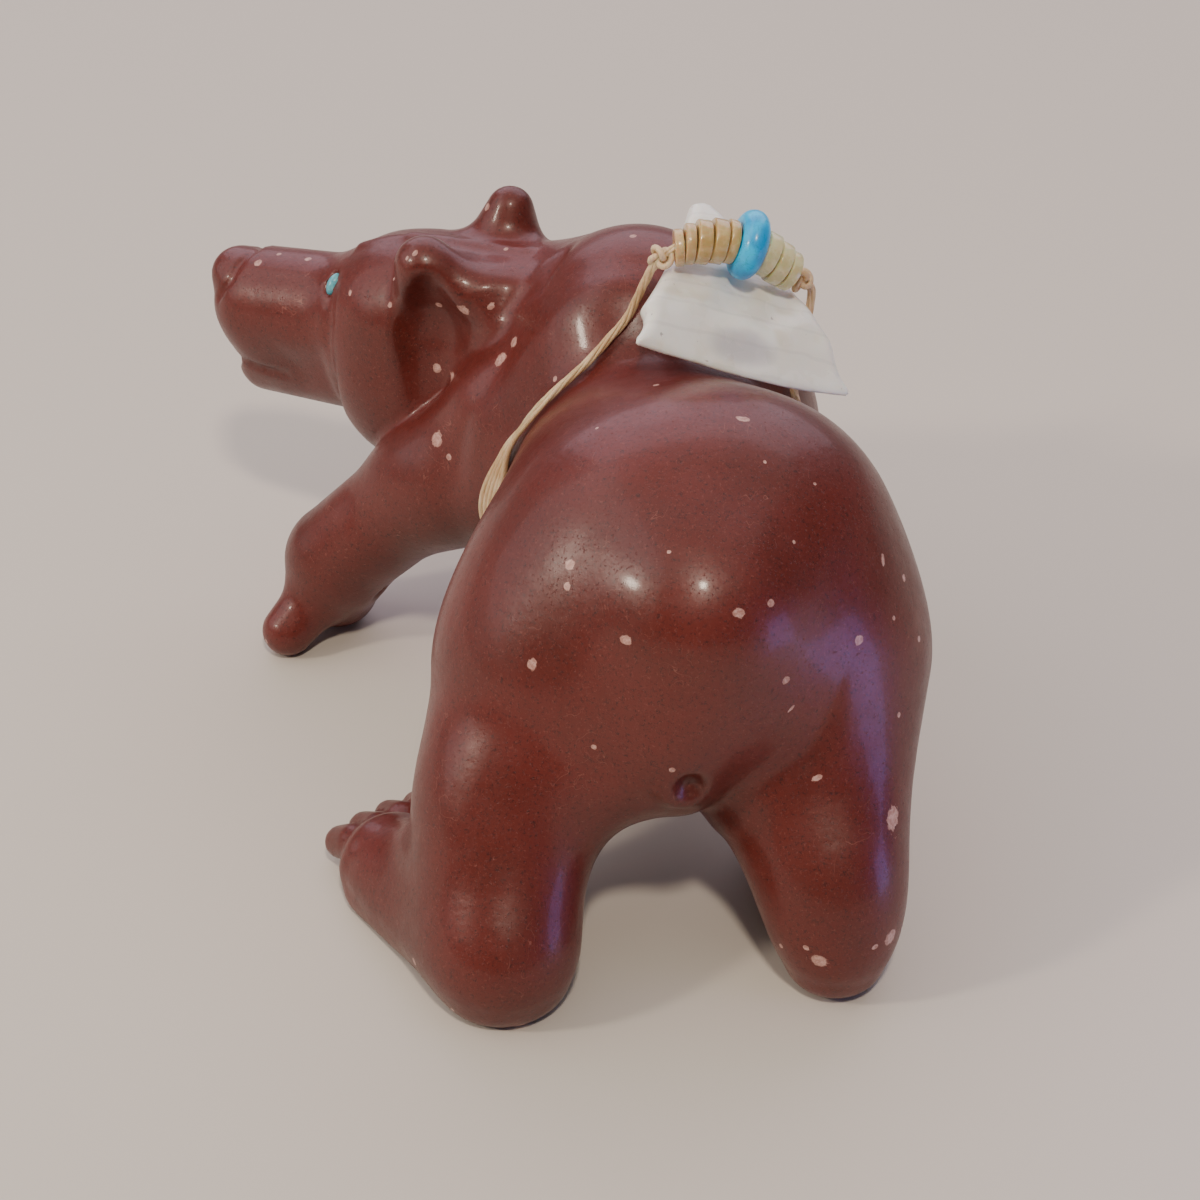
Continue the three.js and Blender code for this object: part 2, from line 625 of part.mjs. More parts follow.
// Bead row: an arch of sinew over the arrowhead, from the left knot to the right knot
const rowAhead = 9.5;
const crown = arrowheadThickness + turquoiseDiameter / 2 + beadGap;
const rest = arrowheadThickness + beadDiameter / 2 + beadGap;
const beadRow = [
  { name: 'shell_bead_1', width: 0.6, diameter: 0.84 * beadDiameter, colour: tanColour },
  { name: 'shell_bead_2', width: 0.7, diameter: 0.92 * beadDiameter, colour: tanColour },
  { name: 'shell_bead_3', width: 1.1, diameter: beadDiameter, colour: amberColour },
  { name: 'shell_bead_4', width: 1.1, diameter: 1.02 * beadDiameter, colour: amberColour },
  { name: 'shell_bead_5', width: 0.7, diameter: beadDiameter, colour: deepAmberColour },
  {
    name: 'turquoise_bead',
    width: turquoiseThickness,
    diameter: turquoiseDiameter,
    colour: turquoiseColour,
    domed: true,
  },
  { name: 'shell_bead_6', width: 1.2, diameter: 1.02 * beadDiameter, colour: paleColour },
  { name: 'shell_bead_7', width: 1.1, diameter: beadDiameter, colour: paleColour },
  { name: 'shell_bead_8', width: 0.9, diameter: 0.92 * beadDiameter, colour: paleColour },
];

const beadWidths = beadRow.reduce((sum, bead) => sum + bead.width, 0);
const rowWidth = beadWidths + beadGap * (beadRow.length - 1);
const archPoints = [
  onArrowhead(-0.72 * rowWidth, rowAhead - 0.6, rest - 1.8),
  onArrowhead(-0.55 * rowWidth, rowAhead, rest + 0.1),
  onArrowhead(-0.105 * rowWidth, rowAhead + 0.6, crown),
  onArrowhead(0.21 * rowWidth, rowAhead + 0.1, rest + 0.2),
  onArrowhead(0.412 * rowWidth, rowAhead + 0.3, rest - 1.0),
];
const arch = new THREE.CatmullRomCurve3(archPoints.map((place) => point(...place)));

// A disc bead: a ring with a bore, its axis along its own Y. Its corners are worn back,
// and a domed one is rounded from face to face.
function beadGeometry({ width, diameter, domed }) {
  const bore = strandDiameter / 2 + boreClearance;
  const radius = diameter / 2;
  const worn = Math.min(0.32 * width, 0.22 * radius);
  const heart = 0.5 * radius;
  const outer = domed
    ? [-78, -50, -25, 0, 25, 50, 78].map((turn) => [
      heart + (radius - heart) * Math.cos(THREE.MathUtils.degToRad(turn)),
      (width / 2) * Math.sin(THREE.MathUtils.degToRad(turn)),
    ])
    : [
      [radius - worn, -width / 2], [radius, worn - width / 2],
      [radius, width / 2 - worn], [radius - worn, width / 2],
    ];
  const shore = domed ? 0.42 * width : width / 2;
  const profile = [[bore, -shore], ...outer, [bore, shore], [bore, -shore]];
  return new THREE.LatheGeometry(profile.map(([x, y]) => new THREE.Vector2(x, y)), beadSides);
}

let travelled = (arch.getLength() - rowWidth) / 2;
const beadLean = 0.24;
const chord = arch.getPoint(1).sub(arch.getPoint(0)).normalize()
  .addScaledVector(point(...arrowheadAxes[0]), -beadLean);
const beads = beadRow.map((bead) => {
  const share = (travelled + bead.width / 2) / arch.getLength();
  travelled += bead.width + beadGap;
  const middle = arch.getPointAt(share);
  const along = arch.getTangentAt(share).add(chord).normalize();
  const top = point(...arrowheadAxes[2]);
  const up = top.addScaledVector(along, -along.dot(top)).normalize();
  const frame = new THREE.Matrix4().makeBasis(along.clone().cross(up), along, up).setPosition(middle);
  return { ...bead, geometry: beadGeometry(bead).applyMatrix4(frame) };
});

// Sinew: round inside the beads, flat against the stone, and closed on itself.
// Its lower places are drawn onto the stone, so that it lies against the body.
const onStone = (place) => settle(inStone(place), sinewClearance + sinewThickness / 2);
const route = [
  ...archPoints,
  onArrowhead(0.31 * arrowheadWidth, rowAhead + 0.8, arrowheadThickness),
  onStone([20.6, 12.6, 38]),
  onStone([21.3, 10.5, 30]),
  onStone([17, 9, 20]),
  onStone([7, 9, 12.5]),
  onStone([-4, 10, 14.5]),
  onStone([-10.4, 11.5, 22]),
  onStone([-8.7, 10.6, 30]),
  onStone([-6.2, 8.6, 35]),
  onStone([-3.4, 8.6, 38.6]),
  onStone([-0.8, 9.9, 41]),
  onStone([2.2, 11.9, 44.2]),
];
const loop = new THREE.CatmullRomCurve3(route.map((place) => point(...place)), true);
const loopSteps = 64;
const sinewSides = 6;
function sinewGeometry() {
  const rings = [];
  for (let step = 0; step < loopSteps; step += 1) {
    const share = step / loopSteps;
    const middle = loop.getPointAt(share);
    const along = loop.getTangentAt(share);
    const least = sinewClearance + sinewThickness / 2;
    const inside = stoneDistance(...middle) < least;
    const place = inside ? point(...settle(middle.toArray(), least)) : middle;
    const out = slopeAt(stoneDistance, place.toArray());
    out.addScaledVector(along, -out.dot(along)).normalize();
    const across = along.clone().cross(out);
    const away = Math.min(...archPoints.map((p) => place.distanceTo(point(...p))));
    const flat = THREE.MathUtils.smoothstep(away, 8, 30);
    const wide = THREE.MathUtils.lerp(strandDiameter, sinewWidth, flat) / 2;
    const thick = THREE.MathUtils.lerp(strandDiameter, sinewThickness, flat) / 2;
    rings.push(Array.from({ length: sinewSides }, (_, n) => {
      const turn = (2 * Math.PI * n) / sinewSides;
      return place.clone()
        .addScaledVector(across, wide * Math.cos(turn))
        .addScaledVector(out, thick * Math.sin(turn))
        .toArray();
    }));
  }
  const triangles = [];
  rings.forEach((_, step) => {
    const next = (step + 1) % loopSteps;
    for (let n = 0; n < sinewSides; n += 1) {
      const m = (n + 1) % sinewSides;
      const [a, b] = [step * sinewSides + n, step * sinewSides + m];
      const [c, d] = [next * sinewSides + m, next * sinewSides + n];
      triangles.push([a, c, b], [a, d, c]);
    }
  });
  return geometryFrom({ vertices: rings.flat(), triangles });
}
const knotAt = (place, turn) => new THREE.SphereGeometry(1, 8, 6)
  .scale(0.5 * knotDiameter, 0.36 * knotDiameter, 0.42 * knotDiameter)
  .rotateZ(turn)
  .translate(...place);
let sinewSolid = solidFrom(sinewGeometry());
[[archPoints[0], 0.4], [archPoints[archPoints.length - 1], -0.5]].forEach(([place, turn]) => {
  sinewSolid = sinewSolid.add(solidFrom(knotAt(place, turn)));
  sinewSolid = sinewSolid.add(solidFrom(knotAt(place, turn + 1.6)));
});

// The finished carving, with its origin under the middle of its outer box
const carving = new THREE.Group();
function addPiece(name, geometry, color, roughness) {
  const material = new THREE.MeshStandardMaterial({ color, roughness, metalness: 0 });
  const mesh = new THREE.Mesh(geometry, material);
  mesh.name = name;
  carving.add(mesh);
}
addPiece('bear', geometryOf(bearSolid), pipestoneColour, 0.3);
eyes.forEach(({ name, inlay }) => addPiece(name, inlay, turquoiseColour, 0.25));
addPiece('arrowhead', arrowheadGeometry, shellColour, 0.35);
beads.forEach(({ name, geometry, colour }) => addPiece(name, geometry, colour, 0.3));
addPiece('sinew', geometryOf(sinewSolid), sinewColour, 0.6);

const outerBox = new THREE.Box3().setFromObject(carving);
const middle = outerBox.getCenter(point(0, 0, 0));
carving.position.set(-middle.x, -middle.y, 0);

const group = new THREE.Group();
group.add(carving);
export default group;
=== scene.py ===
import math
import bpy
import bmesh
import numpy as np
from mathutils import Matrix, Vector
from mathutils.bvhtree import BVHTree


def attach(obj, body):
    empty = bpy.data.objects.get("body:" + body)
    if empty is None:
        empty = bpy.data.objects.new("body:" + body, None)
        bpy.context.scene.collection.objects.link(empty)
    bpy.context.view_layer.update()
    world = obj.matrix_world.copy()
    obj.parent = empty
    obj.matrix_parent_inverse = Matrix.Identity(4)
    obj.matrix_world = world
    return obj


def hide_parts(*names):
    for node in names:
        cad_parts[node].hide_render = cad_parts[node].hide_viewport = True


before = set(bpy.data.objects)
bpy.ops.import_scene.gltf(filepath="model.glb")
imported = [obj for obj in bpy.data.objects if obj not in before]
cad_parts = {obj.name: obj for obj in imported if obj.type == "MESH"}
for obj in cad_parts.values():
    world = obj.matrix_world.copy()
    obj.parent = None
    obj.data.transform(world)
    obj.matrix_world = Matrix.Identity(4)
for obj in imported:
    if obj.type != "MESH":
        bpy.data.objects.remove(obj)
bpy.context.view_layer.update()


# ---------------------------------------------------------------------------
# The bear. One piece of dark red pipestone, sawn and ground to shape, its toes,
# mouth and ears cut in with a file, then rubbed down fine and waxed to a soft
# polish. It is drawn here from the same masses as its solid, but much finer.
# ---------------------------------------------------------------------------

drawing_shift = np.array([5.006, -6.377, 0.0])   # millimetres, drawing to model


def facing(heading_left, dip, roll=0.0):
    """Axes of a mass: ahead, right and up, heading left of +Y and dipping."""
    h, p, r = (math.radians(a) for a in (heading_left, dip, roll))
    ahead = np.array([-math.sin(h) * math.cos(p), math.cos(h) * math.cos(p), -math.sin(p)])
    side = np.array([math.cos(h), math.sin(h), 0.0])
    above = np.cross(side, ahead)
    right = side * math.cos(r) + above * math.sin(r)
    return np.array([ahead, right, np.cross(right, ahead)])


def place_in(origin, axes, place):
    return np.asarray(origin, float) + np.asarray(place, float) @ axes


def egg(center, radii, axes):
    """Distance outside an egg-shaped mass."""
    radii = np.array(radii, np.float32)
    turn = (axes / radii[:, None]).T.astype(np.float32)
    center = np.array(center, np.float32)

    def distance(p):
        local = (p - center) @ turn
        near = np.sqrt(np.einsum("ij,ij->i", local, local))
        local /= radii
        slope = np.sqrt(np.einsum("ij,ij->i", local, local))
        return near * (near - 1) / np.maximum(slope, 1e-6)
    return distance


def limb(start, end, start_radius, end_radius):
    """Distance outside a bone with a ball at each end and a cone between."""
    start = np.array(start, np.float32)
    bone = (np.array(end, np.float32) - start)
    long2 = float(bone @ bone)
    taper = start_radius - end_radius
    cone2 = long2 - taper * taper

    def distance(p):
        q = p - start
        along = q @ bone
        past = along - long2
        off2 = np.maximum(np.einsum("ij,ij->i", q, q) * long2 - along * along, 0) * long2
        rim = math.copysign(taper * taper, taper) * off2
        cone = (np.sqrt(off2 * cone2 / long2) + along * taper) / long2 - start_radius
        head = np.sqrt(off2 + along * along * long2) / long2 - start_radius
        tail = np.sqrt(off2 + past * past * long2) / long2 - end_radius
        out = np.where(np.sign(along) * cone2 * along * along * long2 < rim, head, cone)
        return np.where(np.sign(past) * cone2 * past * past * long2 > rim, tail, out)
    return distance


def soft_join(a, b, fillet):
    h = np.maximum(fillet - np.abs(a - b), 0) / fillet
    return np.minimum(a, b) - h * h * fillet / 4


def soft_cut(a, b, fillet):
    return -soft_join(-a, b, fillet)


def smooth_step(value, low, high):
    t = np.clip((value - low) / (high - low), 0, 1)
    return t * t * (3 - 2 * t)


hip_axes = facing(2, 0)
chest_axes = facing(40, 0)
trunk = [
    (egg([7.3, -7.2, 27.6], [17.0, 18.7, 18], hip_axes), 0),
    (egg([11.6, -5, 30.2], [12.7, 13.8, 14.4], hip_axes), 4),
    (egg([7, -14, 24], [9, 10, 8.4], hip_axes), 4),
    (egg([5.0, 6, 28.3], [14, 12.9, 12.9], facing(15, 0)), 6),
    (egg([3.6, 21.5, 32.6], [12, 12, 15], chest_axes), 5),
    (egg([11, 19, 28], [10, 9, 12], chest_axes), 4),
    (egg([-1, 22, 24], [12, 12, 12], chest_axes), 5),
]
tail_and_left_leg = [
    (limb([8.4, -17.5, 33], [5.6, -21.2, 20.6], 8.4, 4.9), 4),
    (limb([-3.6, -12, 22], [-8.2, -19.5, 14], 10.7, 7.1), 7),
    (limb([-8.2, -19.5, 14], [-8.0, -27.8, 5.6], 7.1, 5.8), 5),
    (limb([-8.8, -28.2, 4.8], [-18.2, -15.2, 2.8], 5.8, 5.2), 4),
]
right_hind_leg = [
    (limb([18.4, -10, 22], [20.3, -24, 10], 10, 5.9), 0),
    (limb([12.2, -15, 20], [17.8, -21, 12], 7.8, 5.4), 4),
    (limb([19.9, -24, 10], [20.4, -26.9, 4.8], 5.7, 4.3), 3),
    (limb([20.5, -25, 4.6], [21.0, -10, 3.6], 4.4, 5.2), 4),
]
right_fore_leg = [
    (limb([10, 25, 27], [11, 31, 10], 9, 5.4), 6),
    (limb([11, 31, 7], [7, 38, 3.5], 5.4, 4.6), 4),
]
left_fore_leg = [
    (limb([1.9, 20.0, 38.9], [-7.6, 21.2, 29.2], 7.3, 6.1), 0),
    (limb([-7.6, 21.2, 29.2], [-16.4, 24.3, 19.3], 6.1, 5.8), 3),
    (limb([-4, 20, 25], [-13, 21.5, 20.6], 7, 5.6), 4),
    (limb([-16.4, 24.3, 19.3], [-26.2, 26.2, 9.3], 5.6, 5.3), 3),
    (limb([-26.5, 26.8, 7.7], [-27, 28.4, 4.0], 4.9, 4.3), 2),
    (limb([-29.2, 24.6, 4.6], [-31.6, 22.7, 2.4], 2.9, 2.6), 2.0),
]

# File cuts that part the toes of the left forepaw, along its lower edge
paw_cuts = [
    (limb([-21.9, 23.9, 8.2], [-23.4, 22.2, 0.6], 0.45, 0.8), 0.4),
    (limb([-19.4, 24.2, 10.0], [-20.6, 22.8, 3.0], 0.4, 0.7), 0.4),
]


def toe_row(origin, axes, reach, spread, radius, drop):
    """Four toes across the front of a foot, and the file cuts between them."""
    toes, cuts = [], []
    for n in (-1.5, -0.5, 0.5, 1.5):
        root = place_in(origin, axes, [0, n * spread, drop])
        tip = place_in(origin, axes, [reach - abs(n) * 0.4, n * spread * 1.08, 0])
        toes.append(limb(root, tip, radius, radius * 0.8))
    for n in (-1, 0, 1):
        back = place_in(origin, axes, [-1.2, n * spread, drop + radius * 1.05])
        front = place_in(origin, axes, [reach + 0.6, n * spread * 1.08, radius * 0.5])
        cuts.append(limb(back, front, 0.16, 0.42))
    return toes, cuts


foot_rows = [
    toe_row([-19.1, -9.7, 2.3], facing(37, 0), 2.7, 2.6, 1.7, 1.1),
    toe_row([21.2, -7.6, 1.8], facing(-4, 0), 3.0, 2.6, 1.75, 1.4),
    toe_row([5.6, 40.2, 1.8], facing(22, 0), 3.0, 2.4, 1.7, 1.2),
]

skull = [-16.8, 33.4, 33.5]
head_axes = facing(62, 7)


def in_head(ahead, right, up):
    return place_in(skull, head_axes, [ahead, right, up])


head = [
    (limb([1, 28, 34.3], in_head(-4, 0, 0.4), 8.2, 7.0), 0),
    (egg(in_head(1.2, 0, -0.2), [8.9, 8.2, 7.8], head_axes), 3),
    (limb(in_head(8, 0, -1.8), in_head(19.3, 0, -1.7), 6.0, 5.6), 3),
    (egg(in_head(18.2, 0, -4.4), [5.4, 4.8, 4.8], head_axes), 1.5),
    (limb(in_head(6, 0, -6.9), in_head(20.6, 0, -8.6), 5.2, 3.1), 2.4),
    (egg(in_head(22.7, 0, 1.4), [2.3, 3.0, 2.3], head_axes), 1.0),
    (egg(in_head(2.1, -4.0, -5.5), [7.2, 4.7, 9.2], head_axes), 1.0),
    (egg(in_head(2.1, 4.0, -5.5), [7.2, 4.7, 9.2], head_axes), 1.0),
]
ears = [
    (limb(in_head(-4.0, -5.7, 8.0), in_head(-3.6, -5.9, 3.6), 2.1, 2.0), 2),
    (limb(in_head(-4.6, -5.7, 7.6), in_head(-9.2, -4.4, 4.6), 1.7, 2.4), 4),
    (limb(in_head(-7.1, 6.0, 8.8), in_head(-6.2, 5.2, 4.3), 2.3, 4.1), 2),
]
head_ridge = [
    (limb(in_head(6.4, -0.3, 5.9), in_head(0.5, -0.1, 7.35), 0.45, 0.5), 0.9),
    (limb(in_head(0.5, -0.1, 7.35), in_head(-11.5, 1.2, 6.95), 0.5, 0.4), 0.9),
]

# Cut away: the hollow between head and shoulder, the shoulder's straight front edge,
# the gap between the lips, the hollow behind the near ear, and the pit at the tail
neck_cut = [(limb([-16.2, 18.3, 38.1], [-16.3, 17.8, 26.4], 5.6, 6.4), 1.5)]
shoulder_cut = [
    (limb([-2.8, 27.5, 48.3], [-7.8, 21.5, 44.3], 2.8, 3.0), 0.35),
    (limb([-7.8, 21.5, 44.3], [-12.9, 23.2, 38.6], 3.0, 3.2), 0.35),
]
mouth_cut = [(limb(in_head(23.6, -4, -6.9), in_head(23.6, 4, -6.9), 1.5, 1.5), 0.8)]
ear_cut = [(limb(in_head(-6.0, -8.9, 6.6), in_head(-5.3, -9.7, 2.0), 1.8, 4.4), 0.9)]
tail_hollow = egg([7.6, -26.6, 20.9], [1.7, 1.3, 1.6], hip_axes)
tail_pit = [(tail_hollow, 0.8)]

# File cuts on both sides of the face: under the ear, at the root of the muzzle,
# round the nose, and along the lip. Each runs through places ahead, out and up.
face_lines = [
    ([(-5.3, 9.6, 3.0), (-4.6, 10.8, -5.5)], 4.6, 4.1, 0.7),
    ([(8.0, 4.8, 5.2), (7.9, 7.3, 1.0), (8.4, 7.6, -3.5), (8.2, 5.9, -8.5)], 1.0, 0.8, 0.8),
    ([(19.9, 0.0, 4.3), (20.5, 2.0, 3.6), (20.9, 3.7, 2.3), (22.5, 4.4, 0.2)], 0.45, 0.45, 0.4),
    ([(23.2, 3.6, -6.9), (20.1, 4.2, -7.0), (15.5, 4.5, -7.4)], 0.55, 0.3, 0.5),
]
face_cuts = []
for places, first, last, edge in face_lines:
    for side in (-1, 1):
        for n in range(len(places) - 1):
            ends = [in_head(ahead, side * out, up) for ahead, out, up in places[n:n + 2]]
            widths = [first + (last - first) * m / (len(places) - 1) for m in (n, n + 1)]
            face_cuts.append((limb(*ends, *widths), edge))

# Seats of the two eyes, cut a little larger than the turquoise that fills them
eye_length = 2.4
eye_height = 1.3
eye_depth = 1.5
eye_sink = 0.45
eye_glue_line = 0.06
socket_edge = 0.12

# How softly the masses meet where the joint changes along its way: the right hind
# leg's crease opens out on the flank, and the armpit's joint sharpens ahead of it
crease_fillet = 0.7
crease_opens_by = 6.3
armpit_fillet = 5
armpit_sharpens_by = 4.4
head_fillet = 5
toe_fillet = 0.5
toe_cut_edge = 0.25


def joined(masses, p, start=None):
    for form, fillet in masses:
        value = form(p)
        start = value if start is None else soft_join(start, value, fillet)
    return start


def cut_back(cuts, p, start):
    for form, edge in cuts:
        start = soft_cut(start, form(p), edge)
    return start


def stone_before_eyes(p):
    """Distance outside the whole bear, before the eyes' sockets are cut."""
    body = joined(trunk, p)
    body = cut_back(neck_cut, p, joined(right_fore_leg, p, body))
    body = joined(tail_and_left_leg, p, body)
    flank = np.maximum(smooth_step(p[:, 2], 17, 30), smooth_step(p[:, 0], 15, 21))
    leg = joined(right_hind_leg, p)
    body = soft_join(body, leg, crease_fillet + crease_opens_by * flank)
    for toes, cuts in foot_rows:
        for toe in toes:
            body = soft_join(body, toe(p), toe_fillet)
        for cut in cuts:
            body = soft_cut(body, cut(p), toe_cut_edge)
    arm = cut_back(paw_cuts, p, joined(left_fore_leg, p))
    ahead = smooth_step(p[:, 1], 14, 19.5)
    with_arm = soft_join(body, arm, armpit_fillet - armpit_sharpens_by * ahead)
    face = joined(head_ridge, p, joined(head, p))
    face = cut_back(neck_cut + mouth_cut + face_cuts, p, face)
    whole = soft_join(with_arm, soft_join(body, face, head_fillet), crease_fillet)
    carved = joined(ears, p, cut_back(shoulder_cut + tail_pit, p, whole))
    return cut_back(ear_cut, p, carved)


def slope_of(distance, p, reach=0.04):
    """Which way, and how fast, a distance grows at each place."""
    slope = np.zeros_like(p)
    for corner in ([1, -1, -1], [-1, -1, 1], [-1, 1, -1], [1, 1, 1]):
        corner = np.array(corner, np.float32)
        slope += corner * distance(p + corner * reach)[:, None]
    return slope / (4 * reach)


def settled(distance, p, wanted=0.0, rounds=4):
    """Places moved onto the surface, or to a given distance from it."""
    p = np.array(p, np.float32)
    for _ in range(rounds):
        slope = slope_of(distance, p)
        share = (distance(p) - wanted) / np.maximum((slope * slope).sum(1), 0.2)
        p -= slope * np.clip(share, -1, 1)[:, None]
    return p


eye_seats = []
for side in (-1, 1):
    start = np.array([in_head(8.3, side * 4.6, 4.2)], np.float32)
    seat = settled(stone_before_eyes, start, -eye_sink)
    outward = slope_of(stone_before_eyes, seat)[0]
    outward /= np.linalg.norm(outward)
    along = head_axes[2] - outward * (head_axes[2] @ outward)
    along /= np.linalg.norm(along)
    eye_seats.append((seat[0], np.array([along, np.cross(along, outward), outward])))
eye_sockets = [
    (egg(seat, [eye_length / 2 + eye_glue_line, eye_height / 2 + eye_glue_line,
                eye_depth / 2 + eye_glue_line], axes), socket_edge)
    for seat, axes in eye_seats
]


def stone_distance(p):
    return np.maximum(cut_back(eye_sockets, p, stone_before_eyes(p)), -p[:, 2])


def skin_of(distance, low, high, step):
    """A closed mesh where the distance is nil: one corner in each cell it crosses."""
    lines = [np.arange(a, b + step, step, dtype=np.float32) for a, b in zip(low, high)]
    shape = tuple(len(line) for line in lines)
    values = np.empty(shape, np.float32)
    sheet = np.stack(np.meshgrid(lines[1], lines[2], indexing="ij"), -1).reshape(-1, 2)
    slab = np.empty((len(sheet), 3), np.float32)
    slab[:, 1:] = sheet
    for i, x in enumerate(lines[0]):
        slab[:, 0] = x
        values[i] = distance(slab).reshape(shape[1:])
    flat = values.ravel()
    strides = (shape[1] * shape[2], shape[2], 1)
    number = np.arange(flat.size).reshape(shape)
    cells, corners, quads = [], [], []
    for axis in range(3):
        u, v = (axis + 1) % 3, (axis + 2) % 3
        keep = [slice(1, None)] * 3
        keep[axis] = slice(0, -1)
        near = number[tuple(keep)].ravel()
        a, b = flat[near], flat[near + strides[axis]]
        crossed = (a < 0) != (b < 0)
        near, a, b = near[crossed], a[crossed], b[crossed]
        corner = np.stack(np.unravel_index(near, shape), 1).astype(float)
        corner[:, axis] += a / (a - b)
        around = np.stack([near, near - strides[u], near - strides[u] - strides[v],
                           near - strides[v]], 1)
        around[a >= 0] = around[a >= 0][:, ::-1]
        cells.append(around.ravel())
        corners.append(np.repeat(corner, 4, axis=0))
        quads.append(around)
    used, where = np.unique(np.concatenate(cells), return_inverse=True)
    corners = np.concatenate(corners)
    count = np.bincount(where)
    middle = np.stack([np.bincount(where, corners[:, m]) / count for m in range(3)], 1)
    start = np.array([line[0] for line in lines])
    return start + middle * step, np.searchsorted(used, np.concatenate(quads))


def neighbour_middles(faces, count):
    """What gives, for values at all corners, the middle of each corner's neighbours."""
    ends = np.concatenate([faces[:, [n, (n + 1) % 4]] for n in range(4)])
    shares = np.maximum(np.bincount(ends[:, 0], minlength=count), 1)[:, None]

    def middles(values):
        return np.stack([np.bincount(ends[:, 0], values[ends[:, 1], m], count)
                         for m in range(3)], 1) / shares
    return middles


def evened(places, faces, distance, rounds=3):
    """Corners slid towards the middle of their neighbours, then back to the surface."""
    middles = neighbour_middles(faces, len(places))
    for _ in range(rounds):
        places = settled(distance, 0.4 * places + 0.6 * middles(places), rounds=2)
    return settled(distance, places, rounds=2)


def eased(places, faces, share, rounds):
    """Corners eased over about two millimetres, by a share given for each corner."""
    middles = neighbour_middles(faces, len(places))

    def blurred(values):
        for _ in range(rounds):
            values = values + 0.6 * (middles(values) - values)
        return values
    once = blurred(places)
    return places + share[:, None] * (once + blurred(places - once) - places)


def parted(places, faces):
    """Parts sheets of skin that touch along one edge, and drops bubbles inside. Gives
    the corner that each new corner is a copy of, and the new faces."""
    sides = faces.shape[1]
    ends = np.stack([faces, np.roll(faces, -1, axis=1)], -1).reshape(-1, 2)
    edge_of = ends.min(1) * len(places) + ends.max(1)
    _, where, count = np.unique(edge_of, return_inverse=True, return_counts=True)
    crowded = count[where] > 2
    partner = {}
    for edge in np.unique(edge_of[crowded]):
        rows = np.flatnonzero(edge_of == edge)
        start, end = places[ends[rows[0]].min()], places[ends[rows[0]].max()]
        out = places[faces[rows // sides]].mean(1) - start
        side = np.cross(end - start, out[0])
        across = np.cross(side, end - start)
        turn = np.arctan2(out @ side / np.linalg.norm(side), out @ across / np.linalg.norm(across))
        round_edge = rows[np.argsort(turn)]
        for row, following in zip(round_edge, np.roll(round_edge, -1)):
            if ends[row, 0] < ends[row, 1]:
                partner[edge, row // sides] = following // sides
                partner[edge, following // sides] = row // sides
    source = list(range(len(places)))
    new_faces = faces.copy()
    for corner in np.unique(ends[crowded]):
        fan = np.flatnonzero((faces == corner).any(1))
        meeting = {}
        for face in fan:
            n = list(faces[face]).index(corner)
            for m in (n, (n - 1) % sides):
                meeting.setdefault(edge_of[face * sides + m], []).append(face)
        sheet = {face: face for face in fan}
        for edge, mates in meeting.items():
            for face in mates:
                mate = partner.get((edge, face), mates[-1])
                sheet = {f: sheet[face] if s == sheet[mate] else s for f, s in sheet.items()}
        for extra in sorted(set(sheet.values()))[1:]:
            members = [face for face in fan if sheet[face] == extra]
            new_faces[members] = np.where(faces[members] == corner, len(source),
                                          new_faces[members])
            source.append(corner)
    ends = np.stack([new_faces, np.roll(new_faces, -1, axis=1)], -1)
    _, edge_of = np.unique(ends.min(2) * len(source) + ends.max(2), return_inverse=True)
    edge_of = edge_of.reshape(faces.shape)
    outer = (new_faces == np.argmax(places[:, 2])).any(1)
    grown = 0
    while outer.sum() > grown:
        grown = outer.sum()
        met = np.zeros(edge_of.max() + 1, bool)
        met[edge_of[outer]] = True
        outer = met[edge_of].any(1)
    used, new_faces = np.unique(new_faces[outer], return_inverse=True)
    return np.array(source)[used], new_faces.reshape(-1, sides)


def new_object(name, data):
    """An object in the scene for a mesh, a curve, a lamp or a camera."""
    thing = bpy.data.objects.new(name, data)
    bpy.context.collection.objects.link(thing)
    return thing


def mesh_piece(name, places, faces):
    """A smooth-shaded piece from places in millimetres in the model's frame."""
    mesh = bpy.data.meshes.new(name)
    mesh.from_pydata((np.asarray(places, float) / 1000).tolist(), [], np.asarray(faces).tolist())
    mesh.polygons.foreach_set("use_smooth", [True] * len(mesh.polygons))
    mesh.update()
    return new_object(name, mesh)


grain_step = 0.5
rough_places, stone_faces = skin_of(stone_distance, [-46, -38, -1.2], [34, 50, 52], grain_step)
stone_places = evened(rough_places, stone_faces, stone_distance)

# The hind legs are rubbed over until their masses run into each other, all but the
# belly above, what lies ahead of them, the toes, the crease, the pit and the soles
easing_rounds = round(49 / grain_step ** 2)
near_toe = np.min([toe(stone_places) for toes, _ in foot_rows for toe in toes], axis=0)
crease = np.abs(joined(tail_and_left_leg, stone_places, joined(trunk, stone_places))
                - joined(right_hind_leg, stone_places))
leg_share = (smooth_step(-stone_places[:, 2], -24, -19) * smooth_step(-stone_places[:, 1], -2, 4)
             * smooth_step(near_toe, 1.5, 4) * smooth_step(crease, 1.5, 4)
             * smooth_step(tail_hollow(stone_places), 0.4, 2.5)
             * smooth_step(stone_places[:, 2], 0.8, 3))
stone_places = eased(stone_places.astype(float), stone_faces, leg_share, easing_rounds)
stone_places[:, 2] = np.maximum(stone_places[:, 2], 0)
corner_of, skin_faces = parted(stone_places, stone_faces)
bear = mesh_piece("carved_bear", (stone_places + drawing_shift)[corner_of], skin_faces)

